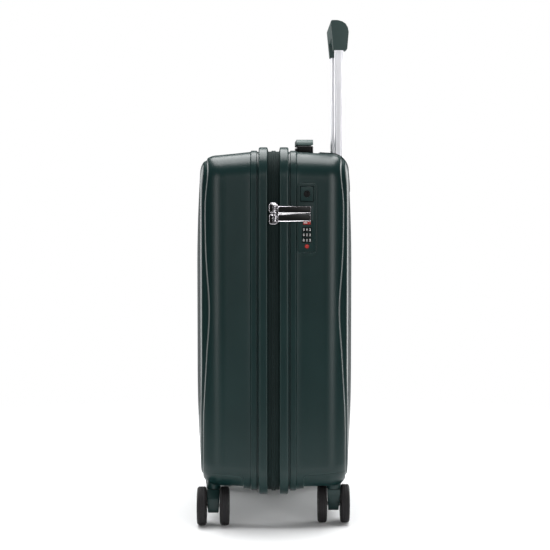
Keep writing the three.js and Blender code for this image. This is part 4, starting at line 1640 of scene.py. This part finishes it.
@dataclass
class Interior:
    """Linings, the divider panel and the packing straps with their buckle."""

    shop: Workshop
    thin: float = 1.2 * MM
    start: float = 10.0 * MM
    back_depth: float = 84.8 * MM
    flat_length: float = 0.62
    flat_width: dict[Half, float] = field(
        default_factory=lambda: {Half.FRONT: 0.44, Half.BACK: 0.41})

    def lining(self, half: Half) -> None:
        """A thin lining that follows the inside of its half."""
        form = CaseForm(half, arc_steps=10, upright_steps=30, level_steps=24, round_rows=8,
                        face_rows=14)
        name = f"{half.word}_lining_cloth"
        offset = form.wall + 1.3 * MM
        skin = form.loft(name, offset, False, capped=True)
        inner = form.loft("inner", offset + self.thin, False, capped=True)
        side = half.value
        depth = self.back_depth if half is Half.BACK else 150 * MM
        for piece, near, far in ((skin, self.start, depth), (inner, 0.0, depth - self.thin)):
            y0, y1 = sorted((side * near, side * far))
            combine(piece, "INTERSECT", [block("reach", (-0.2, y0, 0.0), (0.2, y1, 0.6))])
        combine(skin, "DIFFERENCE", [inner])
        shell = HalfShell(half, self.shop)
        grow = shell.gap + form.wall + 1.2 * MM
        cuts = [shell.guard_room(f"room_{hand}", across, grow) for hand, across in SIDES.items()]
        if half is Half.BACK:
            side_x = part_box("trolley_grip")[1].x + 4.8 * MM
            cuts.append(block("well", (-side_x, 76.8 * MM, 493.8 * MM), (side_x, 0.125, 0.57)))
            low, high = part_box("lock_case")
            cuts.append(block("lock_room", (158 * MM, low.y - 4 * MM, low.z - 8 * MM),
                              (200 * MM, high.y + 4 * MM, high.z + 8 * MM)))
        combine(skin, "DIFFERENCE", cuts)
        smooth(skin)
        self.shop.place(skin, half.body, Finish.LINING, [f"{half.word}_lining"])

    def divider(self) -> None:
        """The zipped divider: a cloth panel with a bound edge and a zip band."""
        low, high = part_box("divider_panel")
        middle = (low.z + high.z) / 2
        wide, tall = high.x - low.x, high.z - low.z
        panel = prism("divider_cloth", box_outline(wide, tall, (0.0, middle)), "y", low.y, high.y,
                      44 * MM, 14)
        self.shop.place(smooth(panel), "front_half", Finish.LINING, ["divider_panel"])
        self.frame_strip("divider_binding", wide, tall, 9 * MM, 44 * MM, middle, low.y, high.y,
                         Finish.TAPE)
        self.frame_strip("divider_zip", wide - 24 * MM, tall - 24 * MM, 5 * MM, 34 * MM, middle,
                         low.y, high.y, Finish.BLACK)

    def frame_strip(self, name: str, wide: float, tall: float, band: float, corner: float,
                    middle: float, y0: float, y1: float, finish: Finish) -> None:
        """A raised band round a rounded rectangle, for bindings and zips on a panel.

        Args:
            name: the piece's name.
            wide: outer width.
            tall: outer height.
            band: width of the band.
            corner: outer corner radius.
            middle: height of its centre.
            y0: lower face of the panel.
            y1: upper face of the panel.
            finish: the band's finish.
        """
        strip = prism(name, box_outline(wide, tall, (0.0, middle)), "y", y0 - 0.4 * MM,
                      y1 + 0.4 * MM, corner, 14)
        hole = prism("hole", box_outline(wide - 2 * band, tall - 2 * band, (0.0, middle)), "y",
                     y0 - 2 * MM, y1 + 2 * MM, corner - band, 14)
        combine(strip, "DIFFERENCE", [hole])
        self.shop.place(soften(strip, 0.3 * MM, 2), "front_half", finish)

    def straps(self) -> None:
        """Webbing straps, and the side-release buckle between them."""
        for hand in SIDES:
            node = f"packing_strap_{hand}"
            low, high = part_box(node)
            strap = block(f"{node}_webbing", low, high)
            self.shop.place(soften(strap, 0.5 * MM, 3), "back_half", Finish.TAPE, [node])
        buckle = soften(reworked("strap_buckle_body", "strap_buckle"), 1.2 * MM, 4)
        low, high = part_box("strap_buckle")
        middle = (low.z + high.z) / 2
        slots = [block("slot", (x, low.y - 1 * MM, middle - 17 * MM),
                       (x + 3 * MM, high.y + 1 * MM, middle + 17 * MM))
                 for x in (-17.5 * MM, 14.5 * MM)]
        combine(buckle, "DIFFERENCE", slots)
        self.shop.place(smooth(buckle), "back_half", Finish.BLACK, ["strap_buckle"])

    def build(self) -> None:
        """Make everything inside the case."""
        for half in Half:
            self.lining(half)
        self.divider()
        self.straps()


# ---------------------------------------------------------------- studio
@dataclass
class Studio:
    """A pale floor, soft lights and the camera."""

    eye: Vector = field(default_factory=lambda: Vector((2.3475, 0.002, 0.499)))
    tilt: float = 3.68
    lens: float = 101.8
    white: Colour = (0.9, 0.905, 0.91)
    fade: tuple[float, float] = (0.42, 1.15)
    surround: float = 0.1

    def floor(self) -> None:
        """A pale paper floor that fades out into the white surroundings."""
        def build(bm: bmesh.types.BMesh) -> None:
            """Add the floor's grid."""
            bmesh.ops.create_grid(bm, x_segments=24, y_segments=24, size=4.0,
                                  matrix=Matrix.Translation((0, 0, -0.0004)))
        ground = built("studio_floor", build)
        g = Graph("studio_paper")
        x, y, _ = g.axes()
        away = (x * x + y * y) ** 0.5
        cloud = g.noise(3.0, 2.0)
        warm = tuple(c * 0.985 for c in self.white)
        paper = g.finish(Base_Color=g.blend(cloud.ramp(0.3, 0.7), self.white, warm), Roughness=0.9)
        clear = g.add("ShaderNodeBsdfTransparent")
        fade = g.add("ShaderNodeMixShader", inputs={
            0: away.ramp(*self.fade), 1: Shade(g, g.shader.outputs[0]), 2: clear})
        g.feed(g.output.inputs[0], fade)
        ground.data.materials.append(paper)

    def light(self, name: str, at: Sequence[float], aim: Sequence[float], size: tuple[float, float],
              power: float) -> None:
        """Add one soft rectangular light aimed at a place.

        Args:
            name: the light's name.
            at: its place.
            aim: where it points.
            size: width and height.
            power: watts.
        """
        lamp = bpy.data.lights.new(name, "AREA")
        lamp.shape = "RECTANGLE"
        lamp.size, lamp.size_y = size
        lamp.energy = power
        holder = bpy.data.objects.new(name, lamp)
        bpy.context.scene.collection.objects.link(holder)
        holder.location = at
        holder.rotation_euler = (Vector(aim) - Vector(at)).to_track_quat("-Z", "Y").to_euler()

    def lights(self) -> None:
        """Tall soft boxes at both sides, a large one overhead, and a pale world."""
        middle = (0.0, 0.0, 0.3)
        self.light("left_strip", (2.1, -1.05, 0.62), middle, (0.3, 1.5), 9)
        self.light("right_strip", (2.1, 1.1, 0.62), middle, (0.34, 1.5), 13)
        self.light("left_back", (-1.1, -1.7, 0.55), middle, (1.3, 1.7), 30)
        self.light("right_back", (-1.1, 1.7, 0.55), middle, (1.3, 1.7), 38)
        self.light("handle_panel", (2.5, 0.06, 0.84), (0.0, 0.09, 0.6), (0.5, 0.34), 1.9)
        self.light("top_box", (-0.3, 0.0, 2.2), (0.0, 0.0, 0.2), (2.0, 2.0), 96)
        world = bpy.data.worlds.new("studio_world")
        world.use_nodes = True
        tree = world.node_tree
        soft = tree.nodes["Background"]
        soft.inputs["Strength"].default_value = self.surround
        seen = tree.nodes.new("ShaderNodeBackground")
        for background in (soft, seen):
            background.inputs["Color"].default_value = (1.0, 1.0, 1.0, 1.0)
        path = tree.nodes.new("ShaderNodeLightPath")
        mix = tree.nodes.new("ShaderNodeMixShader")
        tree.links.new(path.outputs["Is Camera Ray"], mix.inputs[0])
        tree.links.new(soft.outputs[0], mix.inputs[1])
        tree.links.new(seen.outputs[0], mix.inputs[2])
        tree.links.new(mix.outputs[0], tree.nodes["World Output"].inputs["Surface"])
        bpy.context.scene.world = world

    def camera(self) -> None:
        """A long lens looking along the width of the case, tilted slightly down."""
        lens = bpy.data.cameras.new("studio_camera")
        lens.lens = self.lens
        lens.sensor_width = 36.0
        lens.clip_end = 50.0
        holder = bpy.data.objects.new("studio_camera", lens)
        bpy.context.scene.collection.objects.link(holder)
        holder.location = self.eye
        holder.rotation_euler = (math.radians(90 - self.tilt), 0.0, math.radians(90))
        bpy.context.scene.camera = holder

    def build(self) -> None:
        """Set up the camera, floor and lights."""
        self.camera()
        self.floor()
        self.lights()
        bpy.context.scene.view_settings.view_transform = "Standard"


def main() -> None:
    """Build the whole suitcase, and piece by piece."""
    logging.basicConfig(level=logging.INFO, format="%(message)s")
    Studio().build()
    shop = Workshop()
    for half in Half:
        HalfShell(half, shop).build()
    for assembly in (Casters, Trolley, CarryHandle, Zip, Lock, Interior):
        LOG.info("building %s", assembly.__name__)
        assembly(shop).build()


if __name__ == "__main__":
    main()
